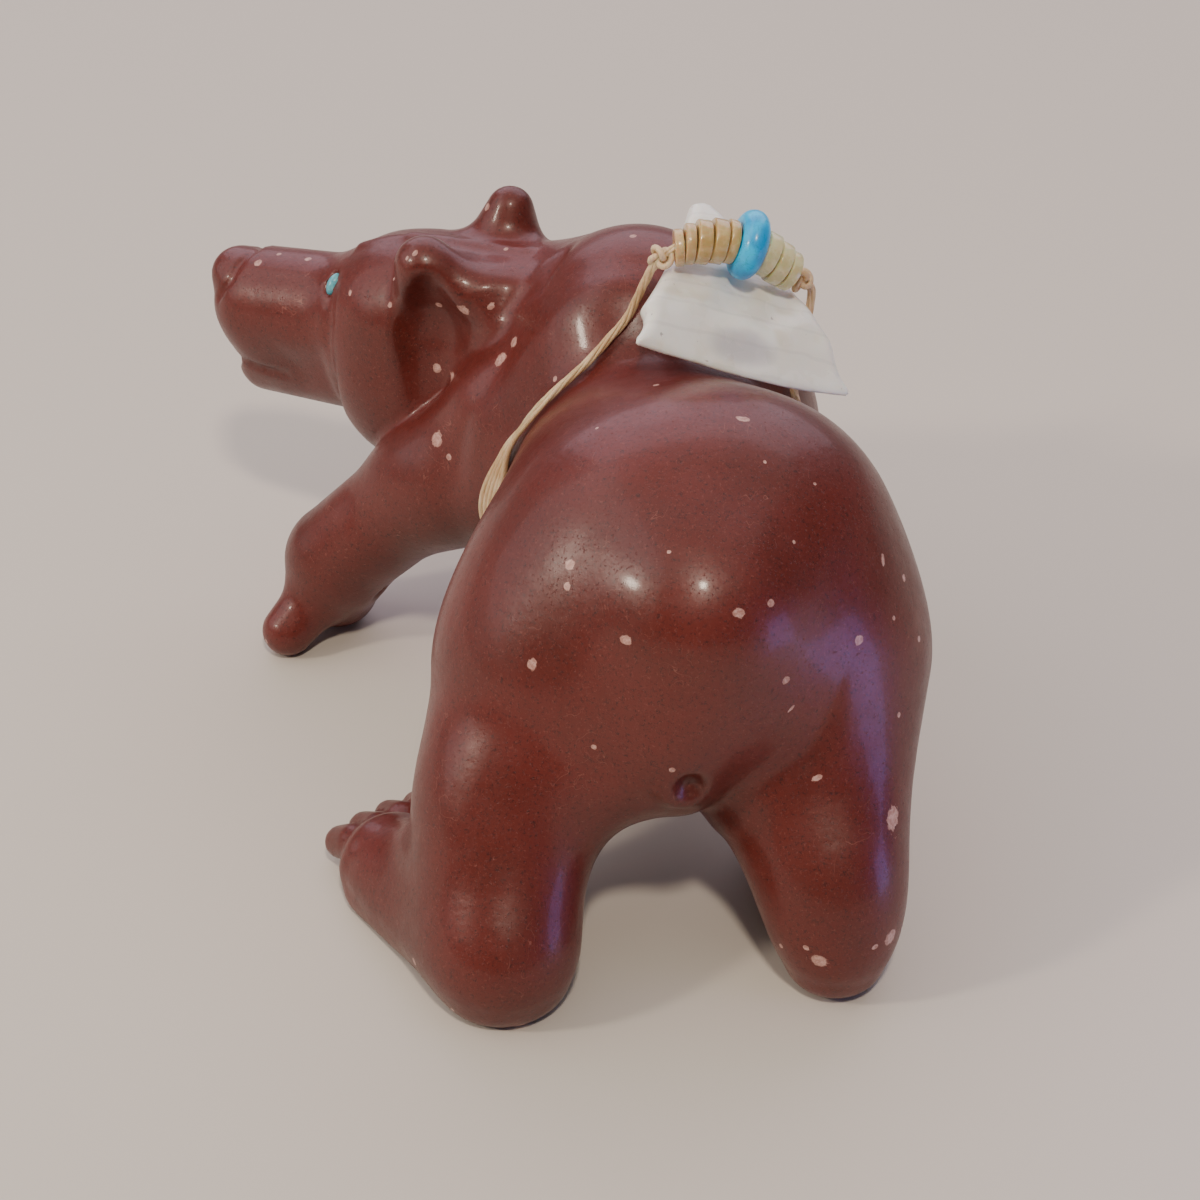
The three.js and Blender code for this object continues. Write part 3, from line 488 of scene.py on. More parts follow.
# The camera stands where the photograph was taken from. It is set up here because
# the pale flecks in the stone are laid where the photograph shows them.
picture_side = 1200
look_at = drawing_shift + np.array([0, 0, 22.0])
camera_rise = math.radians(35)
camera_away = 260.0
pixels_focal = 2860.0
line_of_sight = np.array([0, math.cos(camera_rise), -math.sin(camera_rise)])
picture_right = np.array([1.0, 0, 0])
picture_up = np.cross(picture_right, line_of_sight)
camera_place = look_at - line_of_sight * camera_away
stone_tree = BVHTree.FromPolygons((stone_places + drawing_shift).tolist(), stone_faces.tolist())


def seen_on_stone(across, down):
    """Where a pixel of the photograph lies on the stone, and the stone's normal there."""
    ray = (line_of_sight * pixels_focal + picture_right * (across - picture_side / 2)
           + picture_up * (picture_side / 2 - down))
    hit, normal, _, _ = stone_tree.ray_cast(Vector(camera_place), Vector(ray).normalized())
    return hit, normal


# Pale flecks that the photograph shows: across, down, long and wide in pixels, and lean
flecks_seen = {
    "far ear": (487, 207, 8, 6, 30),
    "nose, top": (258, 263, 9, 7, 40),
    "nose bridge, near": (279, 254, 5, 4, 0),
    "nose bridge, far": (308, 259, 7, 5, 20),
    "brow, below the eye": (350, 293, 5, 5, 0),
    "cheek, front": (394, 279, 4, 3, 20),
    "cheek, middle": (390, 305, 6, 5, 20),
    "near ear, front low": (407, 258, 5, 3, 60),
    "near ear, front high": (415, 253, 7, 5, 60),
    "behind the ear, left": (439, 305, 7, 5, 40),
    "behind the ear, long": (463, 310, 14, 8, 20),
    "neck, right": (491, 306, 9, 6, 45),
    "neck, low": (437, 368, 9, 9, 0),
    "shoulder edge": (452, 378, 11, 6, 40),
    "neck top": (506, 249, 5, 4, 0),
    "shoulder, pale pair upper": (514, 342, 11, 9, 20),
    "shoulder, pale pair lower": (501, 359, 16, 10, 25),
    "upper arm, large": (437, 439, 16, 13, 70),
    "upper arm, small": (449, 457, 7, 6, 0),
    "shoulder, small": (555, 379, 6, 5, 0),
    "saddle, left": (597, 428, 4, 3, 0),
    "shoulder crest": (633, 236, 7, 5, 10),
    "under the arrowhead": (656, 385, 7, 5, 10),
    "saddle, right": (743, 419, 14, 7, -5),
    "flank, high": (765, 462, 4, 4, 0),
    "flank, higher": (815, 484, 4, 3, 0),
    "rump, left of centre": (570, 565, 11, 10, 0),
    "rump, left, second": (567, 586, 8, 8, 0),
    "rump, tiny": (669, 552, 5, 4, 0),
    "rump, under the highlight": (626, 640, 14, 9, -5),
    "left thigh, ragged": (532, 664, 12, 10, 60),
    "left thigh, small": (594, 747, 6, 5, 0),
    "rump, right": (739, 613, 13, 10, -10),
    "rump, far right": (771, 603, 9, 7, 30),
    "hip, right": (859, 640, 11, 9, 60),
    "hip, below the sheen": (786, 680, 9, 7, 50),
    "crease streak": (791, 709, 10, 3, 50),
    "tail": (672, 770, 7, 5, -20),
    "right thigh": (817, 778, 12, 6, 20),
    "right shin, large": (893, 818, 26, 14, 60),
    "right foot, large": (891, 937, 18, 12, 50),
    "right foot, small": (875, 947, 8, 5, 20),
    "right foot, ragged": (819, 961, 17, 12, -20),
    "right foot, second": (806, 948, 8, 5, -10),
    "right foot, low": (781, 946, 6, 4, -50),
    "edge streak": (883, 560, 14, 4, 80),
    "edge": (904, 578, 8, 5, 60),
    "edge, lower": (894, 618, 5, 4, 70),
    "edge, far": (919, 639, 7, 5, 80),
    "edge, lowest": (899, 715, 6, 4, 80),
    "hip, tiny": (794, 542, 4, 4, 0),
}

# Each fleck is a flat oval set in the surface: its middle, its two ways, and its half
# length and half width. One seen at a slant is wider than it looks.
least_slant = 0.45
ovals = []
for across, down, long, wide, lean in flecks_seen.values():
    hit, normal = seen_on_stone(across, down)
    if hit is None:
        continue
    lean = math.radians(lean)
    pixel = (hit - Vector(camera_place)).dot(Vector(line_of_sight)) / pixels_focal
    length_way = Vector(picture_right * math.cos(lean) + picture_up * math.sin(lean))
    length_way = (length_way - normal * length_way.dot(normal)).normalized()
    slant = max(least_slant, abs(normal.dot(Vector(line_of_sight))))
    ovals.append((np.array(hit), np.array(length_way), np.array(normal.cross(length_way)),
                  0.5 * long * pixel, 0.5 * wide * pixel / slant ** 0.5))

# The sides that the photograph doesn't show have flecks laid by chance
hidden_flecks = 90
fleck_spacing = 3.2
foot_height = 4
chance = np.random.default_rng(11)
placed = stone_places + drawing_shift
stone_normals = slope_of(stone_distance, stone_places.astype(np.float32))
stone_normals /= np.linalg.norm(stone_normals, axis=1)[:, None]
for number in chance.permutation(len(placed)):
    if len(ovals) >= len(flecks_seen) + hidden_flecks:
        break
    here, out = placed[number], stone_normals[number]
    if out @ line_of_sight < 0.05 and here[2] > foot_height:
        continue
    if min(np.linalg.norm(here - oval[0]) for oval in ovals) < fleck_spacing:
        continue
    way = np.cross(out, chance.normal(size=3))
    way /= np.linalg.norm(way)
    size = 0.2 + 0.5 * chance.random() ** 2.2
    ovals.append((here, way, np.cross(out, way), size * (1 + 0.7 * chance.random()), size))


def carry(mesh, name, values):
    """Stores a number, or a vector, for each corner of a mesh under a name."""
    values = np.asarray(values, float)
    kind, field = ("FLOAT", "value") if values.ndim == 1 else ("FLOAT_VECTOR", "vector")
    mesh.attributes.new(name, kind, "POINT").data.foreach_set(field, values.ravel())


# The stone carries, in one of two layers, how far each place lies along and across
# its nearest fleck, so that the fleck's edge can be drawn finer than the mesh
spread_room = 1.7 * grain_step
far_from_fleck = 9.0
layers = [[], []]
for oval in ovals:
    crowd = [sum(np.linalg.norm(oval[0] - other[0]) < 2.6 + 2 * oval[3] for other in layer)
             for layer in layers]
    layers[int(crowd[1] < crowd[0])].append(oval)
for name, layer in zip(("fleck_first", "fleck_second"), layers):
    local = np.full((len(placed), 3), far_from_fleck)
    nearest = np.full(len(placed), np.inf)
    for middle, length_way, width_way, half_length, half_width in layer:
        away = placed - middle
        gap = np.linalg.norm(away, axis=1)
        close = (gap < half_length + spread_room) & (gap < nearest)
        nearest[close] = gap[close]
        local[close, 0] = away[close] @ length_way / half_length
        local[close, 1] = away[close] @ width_way / half_width
        local[close, 2] = 0
    carry(bear.data, name, local[corner_of])


class Nodes:
    """A tree of nodes: each call adds one, feeds its inlets and returns an outlet."""

    def __init__(self, tree):
        self.tree = tree

    def put(self, socket, value):
        if isinstance(value, bpy.types.NodeSocket):
            self.tree.links.new(value, socket)
        else:
            socket.default_value = value

    def add(self, kind, inlets, outlet=0, **choices):
        node = self.tree.nodes.new(kind)
        for name, choice in choices.items():
            setattr(node, name, choice)
        for name, value in inlets.items():
            self.put(node.inputs[name], value)
        return node.outputs[outlet]

    def math(self, kind, *values):
        return self.add("ShaderNodeMath", dict(enumerate(values)), operation=kind)


class Recipe(Nodes):
    """A material drawn as nodes round one shader."""

    def __init__(self, name):
        self.material = bpy.data.materials.new(name)
        self.material.use_nodes = True
        super().__init__(self.material.node_tree)

    def finish(self, **settings):
        shader = self.tree.nodes["Principled BSDF"]
        for name, value in settings.items():
            self.put(shader.inputs[name.replace("_", " ")], value)

    def place(self, stretch=(1, 1, 1), turn=(0, 0, 0)):
        """Places on the piece, in millimetres."""
        return self.add("ShaderNodeMapping", {
            "Vector": self.add("ShaderNodeTexCoord", {}, "Object"),
            "Scale": [1000.0 * s for s in stretch],
            "Rotation": [math.radians(t) for t in turn]})

    def carried(self, name, outlet):
        return self.add("ShaderNodeAttribute", {}, outlet, attribute_name=name)

    def noise(self, where, scale, detail=2.0, rough=0.5, twist=0.0):
        return self.add("ShaderNodeTexNoise", {
            "Vector": where, "Scale": scale, "Detail": detail, "Roughness": rough,
            "Distortion": twist})

    def span(self, value, low, high, bottom=0.0, top=1.0):
        """Runs smoothly from bottom to top as a value goes from low to high."""
        return self.add("ShaderNodeMapRange", {
            "Value": value, "From Min": low, "From Max": high, "To Min": bottom,
            "To Max": top}, interpolation_type="SMOOTHSTEP")

    def weighted(self, *parts):
        """Adds up values, each times its own share."""
        total = None
        for value, share in parts:
            value = value if share == 1 else self.math("MULTIPLY", value, share)
            total = value if total is None else self.math("ADD", total, value)
        return total

    def blend(self, share, *colours):
        """Mixes two colours: they are the seventh and eighth inlet of a Mix node."""
        first, second = (colour if isinstance(colour, bpy.types.NodeSocket) else paint(*colour)
                         for colour in colours)
        return self.add("ShaderNodeMix", {"Factor": share, 6: first, 7: second}, 2,
                        data_type="RGBA")

    def layers(self, colour, *over):
        """Lays more colours over one, each as far as its mask goes from low to high."""
        for more, mask, low, high, amount in over:
            colour = self.blend(self.span(mask, low, high, 0, amount), colour, more)
        return colour

    def relief(self, height, depth):
        """Bumps of a given depth in millimetres."""
        return self.add("ShaderNodeBump", {
            "Height": height, "Strength": 1.0, "Distance": depth / 1000})


def paint(red, green, blue):
    """A colour given as it looks, from 0 to 255, turned to light amounts."""
    amounts = []
    for value in (red, green, blue):
        value /= 255
        amounts.append(value / 12.92 if value <= 0.04045 else ((value + 0.055) / 1.055) ** 2.4)
    return (*amounts, 1.0)


# Polished pipestone: dark red clay stone, clouded, finely speckled, with pale flecks
# whose edges are ragged, a few hairline scratches, and small pits
pipestone = Recipe("polished_pipestone")
on_stone = pipestone.place()
clouds = pipestone.noise(on_stone, 0.07, 2, 0.5)
blotches = pipestone.noise(on_stone, 0.4, 4, 0.6, 0.3)
speckle = pipestone.noise(on_stone, 2.7, 4, 0.85)
pale_dust = pipestone.noise(pipestone.place(turn=(40, 20, 60)), 3.2, 4, 0.85)
ragged = pipestone.noise(on_stone, 2.4, 3, 0.7)
stone_colour = pipestone.layers(
    (88, 29, 21),
    ((102, 37, 31), clouds, 0.3, 0.7, 1),
    ((76, 34, 28), blotches, 0.42, 0.75, 0.22),
    ((44, 18, 18), speckle, 0.52, 0.67, 0.78),
    ((146, 82, 72), pale_dust, 0.56, 0.7, 0.5))
fleck_amounts = []
for name in ("fleck_first", "fleck_second"):
    from_middle = pipestone.add("ShaderNodeVectorMath", {0: pipestone.carried(name, "Vector")},
                                "Value", operation="LENGTH")
    from_middle = pipestone.weighted((from_middle, 1), (ragged, 1.3))
    fleck_amounts.append(pipestone.span(from_middle, 1.72, 1.52))
fleck_tone = pipestone.layers((165, 118, 108), ((200, 160, 150), ragged, 0.35, 0.65, 1))
stone_colour = pipestone.blend(pipestone.math("MAXIMUM", *fleck_amounts), stone_colour, fleck_tone)
hair = pipestone.noise(pipestone.place(stretch=(1, 0.35, 1), turn=(20, 35, 10)), 0.5, 2, 0.4, 0.6)
hair_line = pipestone.math("ABSOLUTE", pipestone.math("SUBTRACT", hair, 0.5))
hair_mask = pipestone.span(pipestone.noise(on_stone, 0.16, 1, 0.5), 0.56, 0.64)
scratch = pipestone.math("MULTIPLY", pipestone.span(hair_line, 0.004, 0.0015), hair_mask)
stone_colour = pipestone.blend(pipestone.math("MULTIPLY", scratch, 0.3), stone_colour,
                               (170, 110, 96))
rub = pipestone.noise(on_stone, 0.33, 3, 0.6)
pits = pipestone.span(pipestone.noise(on_stone, 4.2, 2, 0.6), 0.62, 0.72)
pipestone.finish(
    Base_Color=stone_colour,
    Roughness=pipestone.weighted((pipestone.span(rub, 0.3, 0.7, 0.34, 0.44), 1), (pits, 0.2)),
    IOR=1.46,
    Coat_Weight=0.2,
    Coat_Roughness=0.13,
    Normal=pipestone.relief(pipestone.weighted((rub, 1), (speckle, 0.12), (pits, -0.3)), 0.09),
)
bear.data.materials.append(pipestone.material)
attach(bear, "root")
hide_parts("bear")


# ---------------------------------------------------------------------------
# The eyes. Two slips of turquoise, ground to a narrow lens, glued into sockets
# cut at the root of the muzzle, and rubbed down almost level with the stone.
# ---------------------------------------------------------------------------

eye_end_taper = 0.18
turquoise_inlay = Recipe("eye_turquoise")
in_eye = turquoise_inlay.place()
eye_cloud = turquoise_inlay.noise(in_eye, 1.6, 3, 0.6)
turquoise_inlay.finish(
    Base_Color=turquoise_inlay.layers((70, 160, 180), ((120, 200, 212), eye_cloud, 0.35, 0.7, 1)),
    Roughness=0.28,
    IOR=1.6,
    Coat_Weight=0.3,
    Normal=turquoise_inlay.relief(turquoise_inlay.noise(in_eye, 3.0), 0.02),
)

for name, (seat, axes) in zip(("eye_left", "eye_right"), eye_seats):
    lens = bmesh.new()
    bmesh.ops.create_uvsphere(lens, u_segments=32, v_segments=20, radius=1.0)
    for corner in lens.verts:
        along, across, out = corner.co
        across *= 1 - eye_end_taper * along * along
        corner.co = Vector(seat + drawing_shift + axes[0] * along * eye_length / 2
                           + axes[1] * across * eye_height / 2
                           + axes[2] * out * eye_depth / 2) / 1000
    lens.normal_update()
    bmesh.ops.recalc_face_normals(lens, faces=lens.faces)
    mesh = bpy.data.meshes.new(name + "_inlay")
    lens.to_mesh(mesh)
    lens.free()
    mesh.polygons.foreach_set("use_smooth", [True] * len(mesh.polygons))
    mesh.materials.append(turquoise_inlay.material)
    inlay = new_object(name + "_inlay", mesh)
    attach(inlay, "root")
    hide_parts(name)


# ---------------------------------------------------------------------------
# The arrowhead. A side-notched point, sawn from a thick white shell, bevelled
# along its base and worn smooth all round. It lies on the bear's back, point
# towards the head, and the sinew holds it down.
# ---------------------------------------------------------------------------

arrowhead_length = 18.8
arrowhead_width = 21.8
arrowhead_thickness = 2.7
arrowhead_wear = 0.55
base_bevel = 4.4
bevel_foot = 0.6
notch_depth = 1.3
base_curve = 1.9
arrowhead_axes = facing(4, -17.5, -22)
arrowhead_seat = [12.4, 5.9, 41.6]
arrowhead_lift = 0.57
arrowhead_origin = place_in(arrowhead_seat, arrowhead_axes, [0, 0, arrowhead_lift])


def on_arrowhead(right, ahead, up):
    return place_in(arrowhead_origin, arrowhead_axes, [ahead, right, up])


def bend(start, middle, end, steps=9):
    """A curve from start to end, pulled towards a middle place."""
    t = np.linspace(0, 1, steps, endpoint=False)[:, None]
    start, middle, end = (np.array(place, float) for place in (start, middle, end))
    return (1 - t) ** 2 * start + 2 * t * (1 - t) * middle + t * t * end


# The outline: along the base to the right, round its notch, up to the tip and back
half = arrowhead_width / 2
tip = -0.17 * arrowhead_length
rim = np.concatenate([
    bend([-half, 0.2], [0.15 * arrowhead_width, -base_curve], [half, 0.2]),
    [[half, 0.2]],
    bend([half - 0.3, 1.1], [half - notch_depth - 0.5, 2.3], [half - notch_depth - 0.8, 4.0]),
    bend([half - notch_depth - 0.8, 4.0], [0.36 * arrowhead_width, 0.42 * arrowhead_length],
         [tip + 1.0, arrowhead_length]),
    [[tip + 1.0, arrowhead_length], [tip + 0.1, arrowhead_length + 0.1]],
    bend([tip - 0.8, arrowhead_length - 0.3], [-0.3 * arrowhead_width, 0.55 * arrowhead_length],
         [0.9 - half, 4.1]),
    bend([0.9 - half, 4.1], [notch_depth + 0.3 - half, 2.6], [0.3 - half, 1.1]),
    [[0.3 - half, 1.1]],
])


def outside_rim(p):
    """Distance outside the arrowhead's outline, in its own flat frame."""
    best = np.full(len(p), np.inf)
    inside = np.zeros(len(p), bool)
    for a, b in zip(rim, np.roll(rim, -1, axis=0)):
        edge = b - a
        if edge @ edge < 1e-9:
            continue
        away = p - a
        share = np.clip(away @ edge / (edge @ edge), 0, 1)
        best = np.minimum(best, ((away - share[:, None] * edge) ** 2).sum(1))
        passes = (a[1] > p[:, 1]) != (b[1] > p[:, 1])
        meets = (p[:, 1] - a[1]) / (edge[1] if abs(edge[1]) > 1e-9 else 1e-9) * edge[0] + a[0]
        inside ^= passes & (p[:, 0] < meets)
    return np.sqrt(best) * np.where(inside, -1, 1)


bevel_angle = math.atan2(arrowhead_thickness - bevel_foot, base_bevel)


def shell_distance(p):
    """Distance outside the arrowhead: X right, Y to the tip, Z up from the underside."""
    x, y, z = p[:, 0], p[:, 1], p[:, 2]
    edge = outside_rim(p[:, :2])
    swell = 0.10 * np.sin(0.55 * x + 0.8) * np.sin(0.42 * y + 1.1)
    swell += 0.06 * np.sin(1.3 * x - 0.9 * y) + 0.05 * np.sin(2.1 * y + 0.4 * x)
    fall = 0.004 * (x * x) * 0.4
    above = z - (arrowhead_thickness - 0.08 - fall + swell)
    below = -z + 0.02 * np.sin(0.9 * x)
    bevel = ((z - bevel_foot - 0.10 * np.sin(0.5 * x + 0.5)) * math.cos(bevel_angle)
             - y * math.sin(bevel_angle))
    body = -soft_join(-above, -below, 0.3)
    body = -soft_join(-body, -bevel, 0.5)
    return -soft_join(-body, -edge, 2.2 * arrowhead_wear)


shell_places, shell_faces = skin_of(
    shell_distance, [-half - 1, -2, -0.6],
    [half + 1, arrowhead_length + 1, arrowhead_thickness + 0.8],
    0.22)
shell_places = evened(shell_places, shell_faces, shell_distance, rounds=2)
arrowhead = mesh_piece(
    "shell_arrowhead",
    place_in(arrowhead_origin, arrowhead_axes, shell_places[:, [1, 0, 2]]) + drawing_shift,
    shell_faces)
carry(arrowhead.data, "to_the_right", shell_places[:, 0])
carry(arrowhead.data, "to_the_tip", shell_places[:, 1])

# Worn white shell: milky, with faint growth lines, a violet-grey patch in the middle of the base
# bevel (partly the shell's own tint, partly painted shade of a dip there), dark specks and a
# little warmth
white_shell = Recipe("worn_white_shell")
on_shell = white_shell.place()
milk = white_shell.noise(on_shell, 0.22, 3, 0.55)
marks = white_shell.noise(on_shell, 1.1, 2, 0.7, 0.4)
warm = white_shell.noise(on_shell, 0.4, 1, 0.5)
right_of = white_shell.carried("to_the_right", "Fac")
tip_of = white_shell.carried("to_the_tip", "Fac")
growth = white_shell.math("SINE", white_shell.weighted((tip_of, 2.6), (milk, 3.0)))
# A violet-grey patch centred in the middle of the base bevel: partly the shell's own tint, partly
# painted shade of a dip in the bevel
across_dip_shade, along_dip_shade = (
    white_shell.math("MULTIPLY", white_shell.math("SUBTRACT", where, middle), share)
    for where, middle, share in ((right_of, -0.5, 0.30), (tip_of, 2.0, 0.55)))
violet_tint_and_dip_shade = white_shell.weighted((white_shell.math("POWER", across_dip_shade, 2.0), 1),
                              (white_shell.math("POWER", along_dip_shade, 2.0), 1), (milk, 0.8))
white_shell.finish(
    Base_Color=white_shell.layers(
        (236, 235, 228),
        ((244, 245, 242), milk, 0.35, 0.65, 1),
        ((172, 170, 166), growth, 0.86, 1.0, 0.16),
        # the shell's violet tint together with painted shade of the bevel's dip
        ((152, 148, 166), violet_tint_and_dip_shade, 1.6, 0.5, 0.5),
        ((126, 116, 112), marks, 0.68, 0.76, 0.6),
        ((214, 204, 176), warm, 0.55, 0.75, 0.35)),
    Roughness=white_shell.span(milk, 0.3, 0.7, 0.22, 0.36),
    IOR=1.53,
    Subsurface_Weight=0.12,
    Subsurface_Scale=0.0012,
    Coat_Weight=0.25,
    Coat_Roughness=0.1,
    Normal=white_shell.relief(white_shell.weighted((milk, 1), (growth, 0.08)), 0.08),
)
arrowhead.data.materials.append(white_shell.material)
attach(arrowhead, "root")
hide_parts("arrowhead")


# ---------------------------------------------------------------------------
# The bead row. Nine drilled discs on the sinew, in an arch over the arrowhead:
# two thin tan shell, three amber shell, one larger turquoise, three pale shell.
# Each disc is ground round by hand on a string, so no two are quite alike.
# ---------------------------------------------------------------------------

bead_diameter = 4.0
turquoise_diameter = 6.4
bead_gap = 0.3
bore_diameter = 1.2
bead_lean = 0.24
row_ahead = 9.5
crown = arrowhead_thickness + turquoise_diameter / 2 + bead_gap
rest = arrowhead_thickness + bead_diameter / 2 + bead_gap


def smooth_path(places, closed=False, steps=24):
    """A smooth line through the places, evenly stepped, as the solids' paths are."""
    places = [np.array(place, float) for place in places]
    count = len(places)
    line = []
    for n in range(count if closed else count - 1):
        if closed:
            a, b, c, d = (places[(n + m) % count] for m in (-1, 0, 1, 2))
        else:
            b, c = places[n], places[n + 1]
            a = places[n - 1] if n > 0 else 2 * b - c
            d = places[n + 2] if n + 2 < count else 2 * c - b
        knots = [max(np.linalg.norm(q - p) ** 0.5, 1e-4) for p, q in ((a, b), (b, c), (c, d))]
        t1 = (b - a) / knots[0] - (c - a) / (knots[0] + knots[1]) + (c - b) / knots[1]
        t2 = (c - b) / knots[1] - (d - b) / (knots[1] + knots[2]) + (d - c) / knots[2]
        t1, t2 = t1 * knots[1], t2 * knots[1]
        for s in np.linspace(0, 1, steps, endpoint=False):
            line.append(b + t1 * s + (-3 * b + 3 * c - 2 * t1 - t2) * s ** 2
                        + (2 * b - 2 * c + t1 + t2) * s ** 3)
    if not closed:
        line.append(places[-1])
    return np.array(line)


def along_path(line, distance):
    """The place and heading at a distance along a line."""
    legs = np.linalg.norm(np.diff(line, axis=0), axis=1)
    reached = np.concatenate([[0], np.cumsum(legs)])
    place = np.array([np.interp(distance, reached, line[:, m]) for m in range(3)])
    n = int(np.clip(np.searchsorted(reached, distance) - 1, 0, len(legs) - 1))
    return place, (line[n + 1] - line[n]) / legs[n]


# Each bead's piece, the node it stands for, its width and its diameter
bead_row = [
    ("tan_disc_beads", "shell_bead_1", 0.6, 0.84 * bead_diameter),
    ("tan_disc_beads", "shell_bead_2", 0.7, 0.92 * bead_diameter),
    ("amber_disc_beads", "shell_bead_3", 1.1, bead_diameter),
    ("amber_disc_beads", "shell_bead_4", 1.1, 1.02 * bead_diameter),
    ("amber_disc_beads", "shell_bead_5", 0.7, bead_diameter),
    ("turquoise_disc_bead", "turquoise_bead", 2.2, turquoise_diameter),
    ("pale_disc_beads", "shell_bead_6", 1.2, 1.02 * bead_diameter),
    ("pale_disc_beads", "shell_bead_7", 1.1, bead_diameter),
    ("pale_disc_beads", "shell_bead_8", 0.9, 0.92 * bead_diameter),
]
row_width = sum(bead[2] for bead in bead_row) + bead_gap * (len(bead_row) - 1)
arch_places = [
    on_arrowhead(-0.72 * row_width, row_ahead - 0.6, rest - 1.8),
    on_arrowhead(-0.55 * row_width, row_ahead, rest + 0.1),
    on_arrowhead(-0.105 * row_width, row_ahead + 0.6, crown),
    on_arrowhead(0.21 * row_width, row_ahead + 0.1, rest + 0.2),
    on_arrowhead(0.412 * row_width, row_ahead + 0.3, rest - 1.0),
]
arch = smooth_path(arch_places)
arch_length = np.linalg.norm(np.diff(arch, axis=0), axis=1).sum()
row_chord = (arch[-1] - arch[0]) / np.linalg.norm(arch[-1] - arch[0])
row_chord = row_chord - bead_lean * arrowhead_axes[0]


class Drawing(Nodes):
    """A geometry node tree with named inputs, each a kind of socket and a value."""

    def __init__(self, name, inputs):
        super().__init__(bpy.data.node_groups.new(name, "GeometryNodeTree"))
        geometry = {"name": "Geometry", "socket_type": "NodeSocketGeometry"}
        self.tree.interface.new_socket(in_out="INPUT", **geometry)
        for label, (kind, value) in inputs.items():
            socket = self.tree.interface.new_socket(label, in_out="INPUT", socket_type=kind)
            socket.default_value = value
        self.tree.interface.new_socket(in_out="OUTPUT", **geometry)
        self.given = self.tree.nodes.new("NodeGroupInput").outputs

    def dress(self, geometry, material):
        """Ends the tree: the geometry, smooth-shaded, in its material."""
        smooth = self.add("GeometryNodeSetShadeSmooth", {"Geometry": geometry})
        dressed = self.add("GeometryNodeSetMaterial", {"Geometry": smooth, "Material": material})
        self.put(self.tree.nodes.new("NodeGroupOutput").inputs[0], dressed)
        return self.tree


def disc_bead_tree(name, material):
    """Threads a hand-ground disc on each point: its heading, width and diameter
    come with the point, and a seeded noise makes every disc a little different."""
    drawing = Drawing(name, {
        "Bore share": ("NodeSocketFloat", 0.34),
        "Corner share": ("NodeSocketFloat", 0.3),
        "Unevenness": ("NodeSocketFloat", 0.00006),
        "Seed": ("NodeSocketFloat", 3.0),
        "Domed": ("NodeSocketBool", False),
    })
    given, add = drawing.given, drawing.add
    middle_radius = drawing.math("MULTIPLY_ADD", given["Bore share"], 0.25, 0.25)
    wall = drawing.math("MULTIPLY_ADD", given["Bore share"], -0.5, 0.5)
    ring = add("GeometryNodeCurvePrimitiveCircle", {"Resolution": 44, "Radius": middle_radius})
    square = add("GeometryNodeCurvePrimitiveQuadrilateral", {"Width": wall, "Height": 1.0})
    corner_size = drawing.math("MULTIPLY", given["Corner share"], wall)
    ground = add("GeometryNodeFilletCurve", {
        "Curve": square, "Count": 6, "Limit Radius": True, "Radius": corner_size}, mode="POLY")
    circle = add("GeometryNodeCurvePrimitiveCircle", {"Resolution": 26, "Radius": 0.5})
    squeeze = add("ShaderNodeCombineXYZ", {"X": wall, "Y": 1.0, "Z": 1.0})
    domed = add("GeometryNodeTransform", {"Geometry": circle, "Scale": squeeze})
    section = add("GeometryNodeSwitch", {
        "Switch": given["Domed"], "False": ground, "True": domed}, input_type="GEOMETRY")
    disc = add("GeometryNodeCurveToMesh", {"Curve": ring, "Profile Curve": section})
    turn, size = (add("GeometryNodeInputNamedAttribute", {"Name": label}, "Attribute",
                      data_type="FLOAT_VECTOR") for label in ("bead_turn", "bead_size"))
    threaded = add("GeometryNodeInstanceOnPoints", {
        "Points": given["Geometry"], "Instance": disc, "Rotation": turn, "Scale": size})
    real = add("GeometryNodeRealizeInstances", {"Geometry": threaded})
    uneven = add("ShaderNodeTexNoise", {
        "Vector": add("GeometryNodeInputPosition", {}), "W": given["Seed"],
        "Scale": 520.0, "Detail": 1.0}, noise_dimensions="4D")
    lift = drawing.math("MULTIPLY", drawing.math("SUBTRACT", uneven, 0.5), given["Unevenness"])
    outward = add("GeometryNodeInputNormal", {}, "Normal")
    shift = add("ShaderNodeVectorMath", {0: outward, "Scale": lift}, operation="SCALE")
    moved = add("GeometryNodeSetPosition", {"Geometry": real, "Offset": shift})
    return drawing.dress(moved, material)


def made_real(piece, tree, settings):
    """The piece as its node tree makes it, as a plain mesh on a new object."""
    modifier = piece.modifiers.new("making", "NODES")
    modifier.node_group = tree
    for item in tree.interface.items_tree:
        if item.item_type == "SOCKET" and item.in_out == "INPUT" and item.name in settings:
            modifier[item.identifier] = settings[item.name]
    piece.update_tag()
    seen = piece.evaluated_get(bpy.context.evaluated_depsgraph_get())
    mesh = bpy.data.meshes.new_from_object(seen)
    name = piece.name
    piece.modifiers.remove(modifier)
    bpy.data.objects.remove(piece)
    clean = bmesh.new()
    clean.from_mesh(mesh)
    bmesh.ops.remove_doubles(clean, verts=clean.verts, dist=1e-7)
    bmesh.ops.recalc_face_normals(clean, faces=clean.faces)
    clean.to_mesh(mesh)
    clean.free()
    mesh.name = name
    return new_object(name, mesh)


